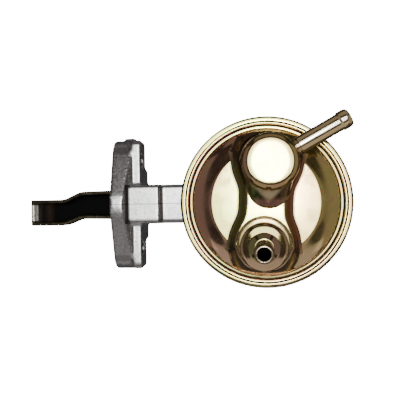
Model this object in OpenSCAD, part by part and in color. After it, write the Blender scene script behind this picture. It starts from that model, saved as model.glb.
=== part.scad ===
// Mechanical fuel pump with a crimped cover, driven by a rocker arm.
// The origin is the middle of the two bolt holes on the mating face.
// +X runs from the mating face to the drum, and +Z from the casting up to the cover.

/* [Layout] */
// Distance from the mating face to the drum's axis
drum_x = 74.9; // [73.6:0.1:77.6]
// Height of the cover's flange above the bolt holes
rim_z = 22; // [21.5:0.1:24]
// Outer diameter of the crimped rim
drum_d = 79; // [78.5:0.1:81]

/* [Flange] */
// Overall length of the flange
flange_len = 64.5; // [62:0.5:68]
// Diameter of the bolt holes
hole_d = 9; // [8.4:0.1:10]
// Thickness of the arched front plate
plate_t = 9.3; // [8.6:0.1:10]
// Height of the front plate at its crown
plate_crown = 33.5; // [31:0.5:35]
// Radius of the front plate's two ends
plate_end_r = 10; // [9.6:0.1:10.5]
// Thickness of the bar behind the plate
bar_t = 4.9; // [4:0.1:6]
// Height of the bar behind the plate
bar_h = 19; // [17:0.5:22]
// Radius of the bar's corners
bar_corner_r = 3; // [1:0.5:4]
// Draft of the bar's back, from its top to its bottom
bar_draft = 1.4; // [0.8:0.1:1.8]
// Radius of the fillets between the bar and the neck
root_fillet = 2; // [1:0.1:2.4]
// Diameter of the spot faces round the bolt holes
spot_d = 16.4; // [15:0.1:18]
// Depth of the spot faces
spot_depth = 1.2; // [0.8:0.1:1.6]
// Depth of the bevel at the back of the front plate's crown
plate_bevel = 3.4; // [2:0.1:4]
// Distance from the mating face to the casting's gate pad
gate_x = 5; // [4:0.5:7]
// Length of the casting's gate pad
gate_len = 5; // [3:0.5:6]
// Thickness of the casting's gate pad
gate_t = 1; // [0.5:0.1:1.5]

/* [Neck] */
// Width of the neck
neck_w = 19.1; // [18.5:0.1:20]
// Top of the neck's tall part, next to the flange
neck_top = 13; // [12:0.1:14]
// Top of the neck's low part, next to the drum
neck_low = 9; // [8:0.1:10]
// Distance from the mating face to the step in the neck's top
neck_step_x = 23.6; // [22.8:0.1:25]
// Width of the step's slope
neck_step_w = 0.5; // [0.3:0.1:1.2]
// Depth of the neck's bottom below the bolt holes
neck_bottom = 15.5; // [15.5:0.1:17]
// Thickness of the neck's roof and floor
neck_skin = 2.5; // [2:0.1:2.6]
// Width of the channel inside the neck
channel_w = 12.3; // [12.2:0.1:12.8]
// Height of the window's sill above the channel's floor
sill_h = 2; // [1.5:0.1:2.5]
// Radius of the neck's long edges
neck_edge_r = 2; // [1:0.1:2.2]
// Radius of the housing's round end under the drum
pocket_r = 11; // [10.5:0.1:12]

/* [Bowl] */
// Thickness of the casting's rim
rim_t = 3.5; // [3:0.1:4]
// Thickness of the bowl's wall
bowl_wall = 3; // [2.5:0.1:3.5]
// Height of the bowl's floor above the bolt holes
bowl_floor = 3; // [2.8:0.1:3.5]
// Thickness of the bowl's floor
floor_t = 3; // [2.5:0.1:3.4]
// Radius of the bowl's flat floor
floor_r = 21; // [20:0.5:22]
// Height of the straight part of the bowl, under the rim
bowl_straight = 2; // [1:0.5:4]

/* [Cover] */
// Thickness of the cover's sheet
sheet = 1; // [0.8:0.1:1.2]
// Width of the flat flange round the dome
cover_flange_w = 4.4; // [4:0.1:5]
// Width of the dome's rounded shoulder
shoulder_w = 9.3; // [8:0.1:10.5]
// Height of the lens-shaped flats above the flange
lens_h = 5.5; // [5:0.1:6.5]
// Height of the hourglass ridge above the flange
ridge_h = 10; // [9.7:0.1:11]
// Distance of a lobe's centre from the drum's axis, as a share of the dome's radius
lobe_share = 0.54; // [0.52:0.01:0.56]
// Radius of a lobe at the level of the flats
lobe_foot_r = 15.4; // [15:0.1:16]
// Radius of a lobe's flat top
lobe_top_r = 12.5; // [12:0.1:13]
// Half width of the waist at the level of the flats
waist_foot = 11.7; // [11:0.1:13]
// Half width of the waist's flat top
waist_top = 8.5; // [8:0.1:9.2]
// Radius of the waist's hollow sides
waist_side_r = 62; // [55:1:70]
// Turn of the hourglass, clockwise as seen from above
ridge_turn = 3.2; // [0:0.1:6]
// Radius of the ridge's rounded ends, as a share of the dome's radius
round_share = 0.105; // [0.09:0.005:0.11]
// Depth of the bead groove in the cover's flange
bead_depth = 0.4; // [0.2:0.05:0.6]
// Distance from the flange's edge to the bead groove
bead_inset = 2.8; // [2.3:0.1:3]
// Radius of the holes under the two fittings
port_r = 7; // [6.5:0.1:7.3]

/* [Crimp ring] */
// Thickness of the crimp ring's sheet
ring_t = 0.9; // [0.7:0.05:1.1]
// Width of the ring's lip over the cover
ring_lip = 2.35; // [2:0.05:2.8]
// Radius of the ring's rolled corners
ring_roll_r = 1.7; // [1.4:0.1:2]

/* [Hose tails] */
// Outer diameter of the hose tails
tail_d = 7.6; // [7.4:0.1:8.2]
// Bore of the hose tails
tail_bore = 5.6; // [5:0.1:6]
// Diameter of the rounded head at each end
tail_bead_d = 8.5; // [8.2:0.1:9]
// Length of the rounded head at each end
tail_head = 5.2; // [4.5:0.1:6]
// Length of the head's cylindrical land
tail_land = 1.8; // [1.2:0.1:2.4]

/* [Outlet] */
// Radius of the outlet can
can_r = 12.4; // [12:0.1:13]
// Height of the outlet can's top above the flange
can_top = 25.5; // [24.5:0.1:28]
// Radius of the can's rounded top edge
can_edge_r = 2.6; // [1.5:0.1:3]
// Radius of the foot of the can's slanted skirt
skirt_r = 9.2; // [8.6:0.1:9.4]
// Distance from the can's axis to the centre of the skirt's foot
skirt_shift = 10; // [9:0.1:10.6]
// Height of the skirt's upper end above the ridge
skirt_h = 11; // [9:0.1:12]
// Distance of the can's axis from its lobe's centre, along X
can_shift_x = 1.2; // [0.8:0.1:1.6]
// Distance of the can's axis from its lobe's centre towards the drum's axis
can_shift_y = 1.1; // [0.8:0.1:1.6]
// Direction of the outlet tail, from +X towards +Y
outlet_angle = 28.9; // [20:0.1:45]
// Height of the outlet tail's axis above the flange
outlet_h = 17.2; // [16.8:0.1:18]
// Distance from the can's axis to the tail's end
outlet_reach = 38.6; // [34:0.1:46]
// Length of the outlet tail's necked root outside the can
root_len = 2; // [1.5:0.1:3]

/* [Inlet] */
// Radius of the inlet cup's foot ring
foot_ring_r = 12.3; // [12:0.1:12.6]
// Thickness of the inlet cup's foot ring
foot_ring_t = 1.8; // [1.4:0.1:2.4]
// Radius of the inlet cup
cup_r = 10.8; // [10:0.1:11]
// Height of the inlet cup above the ridge
cup_h = 7.2; // [6.5:0.1:8]
// Radius of the collar round the inlet tail
cup_collar_r = 6; // [5.5:0.1:6.5]
// Height of the collar round the inlet tail
cup_collar_h = 2.2; // [1.5:0.1:3]
// Distance of the inlet cup's axis from its lobe's centre, away from the drum's axis
inlet_shift = 1; // [0.6:0.1:1.4]
// Lean of the inlet fitting away from the drum's axis
inlet_lean = 4.5; // [0:0.5:6]
// Length of the inlet fitting above the ridge
inlet_len = 24.2; // [22:0.1:28]

/* [Diaphragm] */
// Thickness of the diaphragm
diaphragm_t = 1; // [0.8:0.1:1.2]
// Radius of the two plates
plate_r = 21; // [19:0.5:22]
// Thickness of the two plates
disc_t = 1.2; // [1:0.1:1.4]
// Rise of the diaphragm's middle above its clamped edge at rest
rest_rise = 0.5; // [0:0.1:0.6]
// Depth of the diaphragm's rolled fold
fold_depth = 2; // [1:0.1:3]
// Wire of the diaphragm's spring
main_wire = 2; // [1.6:0.1:2.1]
// Outer radius of the diaphragm's spring
main_r = 13.5; // [12:0.1:14]
// Turns of the diaphragm's spring
main_turns = 3.5; // [3:0.5:3.5]

/* [Pull rod] */
// Radius of the pull rod
rod_r = 2.5; // [2.3:0.1:2.7]
// Radius of the rod's neck in the inner lever, and of its riveted end
rod_neck_r = 2; // [1.8:0.1:2.1]
// Radius of the rod's foot
rod_foot_r = 4.5; // [4.2:0.1:4.8]
// Thickness of the rod's foot
rod_foot_t = 2.3; // [2:0.1:2.4]
// Radius of the rod's riveted head
rivet_r = 4; // [3.5:0.1:4.5]
// Height of the rod's riveted head
rivet_h = 1.4; // [1:0.1:1.8]
// Outer radius of the rod's seal
seal_r = 6; // [5.5:0.1:6.5]
// Height of the rod's seal
seal_h = 4; // [3:0.1:4.5]
// Thickness of the seal's retainer
retainer_t = 0.8; // [0.6:0.1:1]
// Outer radius of the retainer's flange, which seats the spring
retainer_r = 15.5; // [14.8:0.1:16.5]

/* [Rocker] */
// Distance from the mating face to the pivot pin
pivot_x = 23.6; // [22.6:0.1:24.6]
// Diameter of the pivot pin
pin_d = 6; // [5.5:0.1:6.5]
// Thickness of the rocker arm's sheet
arm_t = 1.8; // [1.5:0.1:1.8]
// Width of the arm where it leaves the flange
arm_w = 14.6; // [14:0.1:15]
// Width of the arm at its tip
arm_tip_w = 13.3; // [12.5:0.1:14]
// Width of the arm at the pivot
arm_pivot_w = 10.9; // [10.6:0.1:11]
// Reach of the arm from the mating face to its tip
arm_reach = 45.1; // [42:0.1:48]
// Sideways shift of the arm's tip
arm_joggle = 3.6; // [2:0.1:5]
// Distance from the mating face to the start of the joggle
joggle_start = 16.8; // [15:0.1:18]
// Distance from the mating face to the end of the joggle
joggle_end = 29.1; // [27:0.1:31]
// Radius of the arm's round ends at the pivot
arm_eye_r = 5.8; // [5.5:0.1:6]
// Depth of the arm's floor below the bolt holes
arm_floor = 7; // [6.5:0.1:7.2]
// Distance from the mating face to the end of the arm's floor
arm_floor_end = 20.6; // [20.2:0.1:21]
// Thickness of the two thrust washers
washer_t = 0.5; // [0.4:0.05:0.55]
// Radius of the two thrust washers
washer_r = 5.2; // [4.8:0.1:5.5]
// Thickness of the two plugs over the pin's bores
plug_t = 1; // [0.8:0.1:1.2]
// Radius of the two plugs
plug_r = 4.6; // [4.2:0.1:5]
// Wire of the arm's return spring
return_wire = 1; // [0.8:0.1:1.1]
// Outer radius of the return spring
return_r = 3.1; // [2.8:0.1:3.3]
// Turns of the return spring
return_turns = 6; // [5:0.5:8]
// Distance from the mating face to the return spring
return_x = 13.1; // [12.6:0.1:14.1]

/* [Inner lever] */
// Width of the inner lever
lever_w = 6.6; // [6:0.1:6.8]
// Radius of the inner lever's eye
lever_eye_r = 4.6; // [4.4:0.1:4.7]
// Thickness of the inner lever's fork
fork_t = 1.8; // [1.6:0.1:2]
// Depth of the fork's upper face below the bolt holes
fork_z = 2.8; // [2.6:0.1:3]
// Width of the fork
fork_w = 10; // [9.5:0.1:10.4]

/* [Valves] */
// Radius of a valve's seat, as a share of the dome's radius
seat_share = 0.265; // [0.255:0.005:0.27]
// Thickness of a valve's seat
seat_t = 1.2; // [1:0.1:1.4]
// Thickness of a valve's disc
valve_t = 1.2; // [1:0.1:1.3]
// Radius of a port in the seat
seat_port_r = 1.2; // [1:0.05:1.3]
// Ring radius of the ports, as a share of the seat's radius
ring_share = 0.38; // [0.36:0.01:0.39]
// Number of ports in the seat
seat_ports = 6; // [5:1:7]
// Width of the seat's rim outside its cage
seat_rim = 0.8; // [0.6:0.1:1]
// Thickness of a valve's cage
cage_t = 0.6; // [0.5:0.05:0.7]
// Height of the inlet valve's spring at rest
inlet_gap = 3.2; // [3:0.1:3.3]
// Height of the outlet valve's spring at rest
outlet_gap = 4.2; // [3.5:0.1:5]
// Wire of the valves' springs
valve_wire = 0.4; // [0.3:0.05:0.45]
// Outer radius of the valves' springs
valve_spring_r = 3; // [2.6:0.1:3.4]
// Turns of the valves' springs
valve_turns = 3; // [2:0.5:3]

/* [Fits] */
// Radial running clearance of pins and rods
running = 0.05; // [0.02:0.01:0.08]
// Radial clearance of pieces that are fixed in each other
fixed = 0.02; // [0.01:0.01:0.04]
// Gap between pieces that move past each other
gap = 0.3; // [0.25:0.05:0.4]
// Gap between the fork and the rod's foot at rest
fork_gap = 0.2; // [0.15:0.05:0.3]

/* [Hidden] */
$fn = 64;
eps = 0.01;

hole_pitch = flange_len - 2 * plate_end_r;
bar_end = plate_t + bar_t;
drum_r = drum_d / 2;
rim_play = 0.3;                        // gap between the clamped edges and the ring's wall
shell_r = drum_r - ring_t - rim_play;  // edge of the cover's flange and of the diaphragm
rim_bevel = ring_roll_r - ring_t - rim_play;   // clears the ring's rolled corners
dome_foot_r = shell_r - cover_flange_w;
dome_flat_r = dome_foot_r - shoulder_w;
bead_r = shell_r - bead_inset;
clamp_top = rim_z - sheet;             // upper face of the clamped diaphragm
rim_top = clamp_top - diaphragm_t;     // upper face of the casting's rim
rim_bottom = rim_top - rim_t;
ring_bottom_r = drum_r - ring_t - 2;   // inner edge of the ring's lower lip
bowl_r = ring_bottom_r - 0.3;
bowl_in_r = bowl_r - bowl_wall;
bowl_cone_z = rim_bottom - bowl_straight;
floor_edge = 0.6;                      // height of the flat floor's bevelled edge
bowl_slope = (bowl_cone_z + 0.5 - bowl_floor - floor_edge) / (bowl_in_r - floor_r);
channel_top = neck_top - neck_skin;
channel_low_top = neck_low - neck_skin;
channel_bottom = -neck_bottom + neck_skin;
ridge_z = rim_z + ridge_h;
lobe_slope = (lobe_foot_r - lobe_top_r) / (ridge_h - lens_h);
waist_slope = (waist_foot - waist_top) / (ridge_h - lens_h);
lobe_r = lobe_share * dome_foot_r;     // distance of a lobe's centre from the drum's axis
lobe_dx = lobe_r * sin(ridge_turn);
lobe_dy = lobe_r * cos(ridge_turn);
ridge_round = round_share * dome_foot_r;
seat_r = seat_share * dome_foot_r;
seat_ring_r = ring_share * seat_r;
cage_r = seat_r - seat_rim;
valve_r = cage_r - 2.4;                // leaves room for the fuel round a valve's disc
pin_r = pin_d / 2;
tail_neck_r = tail_d / 2 - 0.4;          // necked root of a hose tail
skirt_inset = 0.6;                     // the skirt's upper end lies this far inside the can
skirt_x = -0.5;                        // the skirt's foot lies this far to the side of the can
fork_bottom = -fork_z - fork_t;
foot_top = fork_bottom - fork_gap;
plates_z = rim_top + rest_rise;        // underside of the diaphragm's middle
lower_plate_z = plates_z - disc_t;
upper_plate_z = plates_z + diaphragm_t;
spring_seat_z = bowl_floor + retainer_t;
outlet_seat_z = ridge_z;
inlet_seat_z = ridge_z - sheet - seat_t;

// Points of an arc about [cx, cy] from angle a0 to a1, both included
function arc(cx, cy, r, a0, a1, n = 6) =
    [for (i = [0:n]) let (a = a0 + (a1 - a0) * i / n) [cx + r * cos(a), cy + r * sin(a)]];

// Points of a quarter oval from its widest point up to its top, with a crisper top for bend over 1
function shoulder(cx, cy, rx, ry, bend = 1, n = 9) =
    [for (i = [0:n]) let (a = 90 * i / n) [cx + rx * pow(cos(a), bend), cy + ry * sin(a)]];

// A coil about the Z axis: a round wire swept along a helix whose two end turns lie flat
module coil(r, wire, height, turns, steps = 12, sides = 6) {
    n = ceil(turns * steps);
    rise = height - wire;
    dead = 0.75;
    pts = [for (i = [0:n])
        let (t = turns * i / n)
        let (u = min(1, max(0, (t - dead) / (turns - 2 * dead))))
        let (z = wire / 2 + rise * (u * 0.94 + 0.06 * t / turns))
        for (j = [0:sides - 1])
            let (b = 360 * j / sides, rr = r - wire / 2 + wire / 2 * cos(b), a = 360 * t)
            [rr * cos(a), rr * sin(a), z + wire / 2 * sin(b)]];
    walls = [for (i = [0:n - 1], j = [0:sides - 1])
        let (k = (j + 1) % sides)
        [i * sides + j, i * sides + k, (i + 1) * sides + k, (i + 1) * sides + j]];
    start = [for (j = [sides - 1:-1:0]) j];
    finish = [for (j = [0:sides - 1]) n * sides + j];
    polyhedron(concat(pts), concat(walls, [start], [finish]), convexity = 10);
}

// A solid with the given outline in X and Z, from y0 to y1
module across_y(points, y0, y1) {
    translate([0, y1, 0]) rotate([90, 0, 0]) linear_extrude(y1 - y0) polygon(points);
}

// Puts a shape that is drawn in Y and Z, and raised along X, in its place
module along_x(x0, x1) {
    translate([x0, 0, 0]) rotate([90, 0, 90]) linear_extrude(x1 - x0) children();
}

module rounded_rectangle(w, h, r) {
    x = w / 2 - r;
    y = h / 2 - r;
    polygon(concat(arc(x, y, r, 0, 90), arc(-x, y, r, 90, 180), arc(-x, -y, r, 180, 270),
                   arc(x, -y, r, 270, 360)));
}

module at_drum(z = 0) {
    translate([drum_x, 0, z]) children();
}

module at_outlet_lobe(z = 0) {
    translate([drum_x + lobe_dx, lobe_dy, z]) children();
}

module at_inlet_lobe(z = 0) {
    translate([drum_x - lobe_dx, -lobe_dy, z]) children();
}

// Lower body: flange, neck and bowl in one casting

// Outline of the arched front plate, in Y and Z: a crown arc and two end arcs with tangents
module plate_outline() {
    end_y = flange_len / 2 - plate_end_r;
    crown_r = plate_crown / 2;
    lean = acos((crown_r - plate_end_r) / end_y);
    polygon(concat(arc(0, 0, crown_r, lean, 180 - lean, 8),
                   arc(-end_y, 0, plate_end_r, 180 - lean, 180 + lean, 16),
                   arc(0, 0, crown_r, 180 + lean, 360 - lean, 8),
                   arc(end_y, 0, plate_end_r, -lean, lean, 16)));
}

// The bar behind the plate: its back leans, but stands upright beside the neck
module bar_solid() {
    top = bar_h / 2;
    over = 1;
    lean = bar_draft / bar_h;
    intersection() {
        along_x(plate_t, bar_end) rounded_rectangle(flange_len - 1, bar_h, bar_corner_r);
        across_y([[0, -top - over], [bar_end - bar_draft - over * lean, -top - over],
                  [bar_end + over * lean, top + over], [0, top + over]], -flange_len, flange_len);
    }
    w = neck_w / 2 - 0.05;
    r = root_fillet;
    root_y = hole_pitch / 2 - 4;
    half = concat([[bar_end + r, w]], arc(bar_end + r - 0.05, w + r, r, 270, 180),
                  arc(bar_end - 2, root_y - 2, 2, 0, 60, 3), [[plate_t, root_y + 1]]);
    root_h = bar_h - 0.4;
    translate([0, 0, -root_h / 2]) linear_extrude(root_h)
        polygon(concat(half, [for (i = [len(half) - 1:-1:0]) [half[i][0], -half[i][1]]]));
}

module flange_solid() {
    crown_z = plate_crown / 2 + 1;
    bevel_x = plate_t - plate_bevel;
    bevel_z = bar_h / 2 + 0.8;
    intersection() {
        along_x(0, plate_t) plate_outline();
        across_y([[-1, -crown_z], [bevel_x, -crown_z], [plate_t + eps, -bevel_z],
                  [plate_t + eps, bevel_z], [bevel_x, crown_z], [-1, crown_z]],
                 -flange_len, flange_len);
    }
    bar_solid();
    translate([gate_x, flange_len / 2 - 1.2, -gate_len / 2])
        cube([gate_len, gate_t + 1.2, gate_len]);
}

// Cross-section of the neck, in Y and Z, with its four long edges rounded
module neck_section(top) {
    w = neck_w / 2;
    r = neck_edge_r;
    polygon(concat(arc(w - r, top - r, r, 0, 90), arc(-w + r, top - r, r, 90, 180),
                   arc(-w + r, -neck_bottom + r, r, 180, 270),
                   arc(w - r, -neck_bottom + r, r, 270, 360)));
}

module neck_solid() {
    step = neck_step_w;
    intersection() {
        union() {
            along_x(plate_t - plate_bevel, neck_step_x + step) neck_section(neck_top);
            along_x(neck_step_x, drum_x) neck_section(neck_low);
        }
        across_y([[0, -neck_bottom - 1], [drum_x + 1, -neck_bottom - 1],
                  [drum_x + 1, neck_low + 1], [neck_step_x + step, neck_low],
                  [neck_step_x, neck_top], [neck_step_x, neck_top + 1], [0, neck_top + 1]],
                 -neck_w, neck_w);
    }
    at_drum(-neck_bottom) cylinder(r = pocket_r, h = neck_bottom + bowl_floor - 1);
}

module bowl_solid() {
    at_drum() rotate_extrude(convexity = 4)
        polygon([[0, bowl_floor - floor_t - 1], [floor_r + 1, bowl_floor - floor_t - 1],
                 [bowl_r, bowl_cone_z], [bowl_r, rim_bottom],
                 [shell_r - rim_bevel, rim_bottom], [shell_r, rim_bottom + rim_bevel],
                 [shell_r, rim_top], [0, rim_top]]);
}

module bowl_hollow() {
    at_drum() rotate_extrude(convexity = 4)
        polygon([[0, bowl_floor], [floor_r - 1, bowl_floor], [floor_r, bowl_floor + floor_edge],
                 [bowl_in_r, bowl_cone_z + 0.5], [bowl_in_r, rim_top + 1], [0, rim_top + 1]]);
}

// The channel from the window in the mating face to the pocket under the rod
module channel_hollow() {
    floor_top = bowl_floor - floor_t;
    window_w = arm_w + 4 * gap;
    sill_z = channel_bottom + sill_h;
    floor_x = drum_x - floor_r;
    slope_x = floor_x - (channel_low_top - floor_top) / bowl_slope;
    across_y([[-1, sill_z], [plate_t, sill_z],
              [plate_t + sill_h, channel_bottom], [drum_x, channel_bottom],
              [drum_x, floor_top], [floor_x, floor_top], [slope_x, channel_low_top],
              [neck_step_x - neck_skin, channel_low_top], [neck_step_x - neck_skin, channel_top],
              [-1, channel_top]], -channel_w / 2, channel_w / 2);
    translate([-1, -window_w / 2, sill_z])
        cube([plate_t + 1.6, window_w, channel_top - sill_z]);
    at_drum(channel_bottom) cylinder(r = pocket_r - neck_skin, h = floor_top - channel_bottom);
}

module lower_body() {
    color("silver") difference() {
        union() {
            flange_solid();
            neck_solid();
            bowl_solid();
        }
        bowl_hollow();
        channel_hollow();
        at_drum(-neck_bottom / 2) cylinder(r = rod_r + gap, h = neck_bottom);
        for (side = [-1, 1]) {
            translate([-1, side * hole_pitch / 2, 0]) rotate([0, 90, 0])
                cylinder(d = hole_d, h = bar_end + 2);
            translate([bar_end - spot_depth, side * hole_pitch / 2, 0])
                rotate([0, 90, 0]) cylinder(d = spot_d, h = spot_depth + 1);
            translate([pivot_x, side * (neck_w / 2 - plug_t), 0]) rotate([-side * 90, 0, 0])
                cylinder(r = plug_r + fixed, h = plug_t + 1);
        }
        translate([pivot_x, neck_w, 0]) rotate([90, 0, 0])
            cylinder(r = pin_r + fixed, h = 2 * neck_w);
    }
}

// Cover: a drawn dome with an hourglass ridge

// Outer form of the cover from the given height up, drawn in by t all round
module cover_form(t, base) {
    foot = dome_foot_r - t;
    knee = foot - 0.7;
    knee_h = 1.5;
    lobe_in = t * sqrt(1 + lobe_slope * lobe_slope);
    waist_in = t * sqrt(1 + waist_slope * waist_slope);
    side_x = waist_side_r + waist_foot;
    ridge_in = 0.5;
    over = 1;
    rotate_extrude(convexity = 4)
        polygon(concat([[0, base], [foot, base], [foot, 0]],
                       shoulder(dome_flat_r, knee_h, knee - dome_flat_r, lens_h - knee_h - t, 1.5),
                       [[0, lens_h - t]]));
    intersection() {
        rotate_extrude(convexity = 4)
            polygon(concat([[0, base / 2], [foot - ridge_in, base / 2], [foot - ridge_in, 0]],
                           shoulder(knee - ridge_in - ridge_round, knee_h, ridge_round,
                                    ridge_h - knee_h - t),
                           [[0, ridge_h - t]]));
        union() {
            for (side = [-1, 1])
                translate([side * lobe_dx, side * lobe_dy, -over])
                    cylinder(r1 = lobe_foot_r + (lens_h + over) * lobe_slope - lobe_in,
                             r2 = lobe_top_r - over * lobe_slope - lobe_in,
                             h = ridge_h + 2 * over, $fn = 96);
            rotate([0, 0, -ridge_turn]) difference() {
                translate([-lobe_foot_r, -lobe_r, -over])
                    cube([2 * lobe_foot_r, 2 * lobe_r, ridge_h + 2 * over]);
                for (side = [-1, 1])
                    translate([side * side_x, 0, -2 * over])
                        cylinder(r1 = waist_side_r - (lens_h + 2 * over) * waist_slope + waist_in,
                                 r2 = waist_side_r + (ridge_h - lens_h + 2 * over) * waist_slope
                                     + waist_in,
                                 h = ridge_h + 4 * over, $fn = 192);
            }
        }
    }
}

module cover() {
    color("darkkhaki") difference() {
        at_drum(rim_z) {
            cover_form(0, -sheet / 2);
            rotate_extrude(convexity = 4)
                polygon([[0, -sheet], [shell_r, -sheet], [shell_r, -rim_bevel],
                         [shell_r - rim_bevel, 0], [bead_r + bead_depth, 0], [bead_r, -bead_depth],
                         [bead_r - bead_depth, 0], [0, 0]]);
        }
        at_drum(rim_z) cover_form(sheet, -sheet - 1);
        at_outlet_lobe(rim_z) cylinder(r = port_r, h = ridge_h + 1);
        at_inlet_lobe(rim_z) cylinder(r = port_r, h = ridge_h + 1);
    }
}

// Section of the crimp ring: a lip over the cover, a rolled wall and a lip under the casting's rim
module crimp_ring() {
    r = ring_roll_r;
    ri = ring_roll_r - ring_t;
    top = rim_z + ring_t;
    bottom = rim_bottom - ring_t;
    color("darkkhaki") at_drum() rotate_extrude(convexity = 4, $fn = 96)
        polygon(concat([[drum_r - ring_lip, rim_z], [drum_r - ring_lip, top]],
                       arc(drum_r - r, top - r, r, 90, 0), arc(drum_r - r, bottom + r, r, 0, -90),
                       [[ring_bottom_r, bottom], [ring_bottom_r, rim_bottom]],
                       arc(drum_r - r, bottom + r, ri, -90, 0), arc(drum_r - r, top - r, ri, 0, 90)));
}

// Outlet: a can with a slanted skirt, and a hose tail out of its side

// Outer form of the can and its skirt from the given height up, drawn in by t all round
module can_form(t, base) {
    edge = max(can_edge_r - t, 0.4);
    top = can_top - t;
    rotate_extrude()
        polygon(concat([[0, base], [can_r - t, base]],
                       arc(can_r - t - edge, top - edge, edge, 0, 90), [[0, top]]));
    hull() {
        translate([skirt_x, -skirt_shift, base])
            cylinder(r = skirt_r - t, h = ridge_h - base + eps, $fn = 48);
        translate([0, 0, base])
            cylinder(r = can_r - skirt_inset - t, h = ridge_h + skirt_h - t - base, $fn = 48);
    }
}

module at_can() {
    at_outlet_lobe(rim_z) translate([can_shift_x, -can_shift_y, 0]) children();
}

module at_outlet_tail() {
    at_can() translate([0, 0, outlet_h]) rotate([0, 90, outlet_angle]) children();
}

module outlet_turret() {
    color("darkkhaki") difference() {
        at_can() can_form(0, ridge_h);
        at_can() can_form(sheet, ridge_h - 1);
        at_outlet_tail() cylinder(r = tail_neck_r + fixed, h = can_r + 2);
    }
}

// A hose tail along Z: a necked root with a small ring, a plain tube and a rounded head
module hose_tail(start, end, ring_z, ring_r) {
    r = tail_d / 2;
    bead_r = tail_bead_d / 2;
    tube_z = ring_z + 1.2;
    land_z = end - tail_head + 0.9;
    round_z = land_z + tail_land;
    rotate_extrude(convexity = 4)
        polygon(concat([[tail_bore / 2, start], [tail_neck_r, start], [tail_neck_r, ring_z - 0.5],
                        [ring_r, ring_z - 0.2], [ring_r, ring_z + 0.2], [tail_neck_r, ring_z + 0.5],
                        [tail_neck_r, tube_z - 0.3], [r, tube_z], [r, end - tail_head],
                        [bead_r, land_z]],
                       [for (a = [0:15:75]) [bead_r - 1.2 * (1 - cos(a)),
                                             round_z + (end - round_z) * sin(a) / sin(75)]],
                       [[tail_bore / 2, end]]));
}

module outlet_pipe() {
    color("darkkhaki") at_outlet_tail()
        hose_tail(can_r - 2.2, outlet_reach, can_r + root_len - 1.2, tail_d / 2 - 0.1);
}

// Inlet: a leaning cup on a grooved foot ring, and a hose tail out of its top

module at_inlet() {
    at_inlet_lobe(ridge_z) translate([0, -inlet_shift, 0]) rotate([inlet_lean, 0, 0]) children();
}

module cup_form(t) {
    edge = max(2 - t, 0.4);
    top = cup_h - t;
    rotate_extrude()
        polygon(concat([[0, -3], [cup_r - t, -3]],
                       arc(cup_r - t - edge, top - edge, edge, 0, 90),
                       [[cup_collar_r + 0.4, top + 0.5], [cup_collar_r - t, top + cup_collar_h],
                        [0, top + cup_collar_h]]));
}

module inlet_cup() {
    groove = 0.35;
    color("darkkhaki") difference() {
        union() {
            at_inlet() cup_form(0);
            at_inlet_lobe(ridge_z) rotate_extrude()
                polygon([[0, 0], [foot_ring_r, 0], [foot_ring_r, foot_ring_t / 3],
                         [foot_ring_r - groove, foot_ring_t / 3 + groove / 2],
                         [foot_ring_r, foot_ring_t / 3 + groove],
                         [foot_ring_r - groove, foot_ring_t], [0, foot_ring_t]]);
        }
        at_inlet() cup_form(sheet);
        at_inlet_lobe(ridge_z - 5) cylinder(r = foot_ring_r + 2, h = 5);
        at_inlet_lobe(ridge_z - 1) cylinder(r = port_r, h = 4);
        at_inlet() cylinder(r = tail_neck_r + fixed, h = cup_h + 5);
    }
}

module inlet_pipe() {
    top = cup_h + cup_collar_h;
    color("darkkhaki") at_inlet() hose_tail(top - 3, inlet_len, top + 0.8, tail_d / 2 + 0.4);
}

// Rocker arm: a channel that is open upwards, with a joggle and an upturned tip

// One edge of the arm's joggle seen from above: side is 1 or -1, and w0 and w1 are half widths
function joggle_edge(side, w0, w1, n = 8) =
    [for (i = [0:n])
        let (u = i / n, sway = arm_joggle * (1 - cos(180 * u)) / 2)
        [-joggle_start - (joggle_end - joggle_start) * u, side * (w0 + (w1 - w0) * u) - sway]];

// Outline seen from above, drawn in by t
module arm_plan(t) {
    pivot_w = arm_pivot_w / 2 - t;
    root_w = arm_w / 2 - t;
    tip_w = arm_tip_w / 2 - t;
    back = pivot_x + arm_eye_r + 1;
    mid_w = (root_w + tip_w) / 2;
    upper = joggle_edge(1, mid_w, tip_w);
    lower = joggle_edge(-1, mid_w, tip_w);
    polygon(concat([[back, pivot_w], [plate_t + 0.5, pivot_w], [0, root_w]], upper,
                   [[-arm_reach - 1, tip_w - arm_joggle], [-arm_reach - 1, -tip_w - arm_joggle]],
                   [for (i = [len(lower) - 1:-1:0]) lower[i]],
                   [[0, -root_w], [plate_t + 0.5, -pivot_w], [back, -pivot_w]]));
}

// Edge of the arm's floor from the pivot to the tip, raised by t
function arm_sole(t) =
    concat([[arm_floor_end, -arm_floor + t], [0, -arm_floor + t], [-joggle_start, -arm_floor + t]],
           arc(-arm_reach + 9, -arm_floor + 12, 12 - t, 265, 212, 5));

module arm_side(t) {
    eye_top = arm_eye_r;
    tip = arm_sole(t);
    last = tip[len(tip) - 1];
    polygon(concat(tip, [[last[0], last[1] + 0.3], [-arm_reach + 6, 0.4], [-joggle_end, 2],
                         [0, 4.2], [pivot_x - 6, eye_top],
                         [arm_floor_end, eye_top]]));
}

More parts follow.
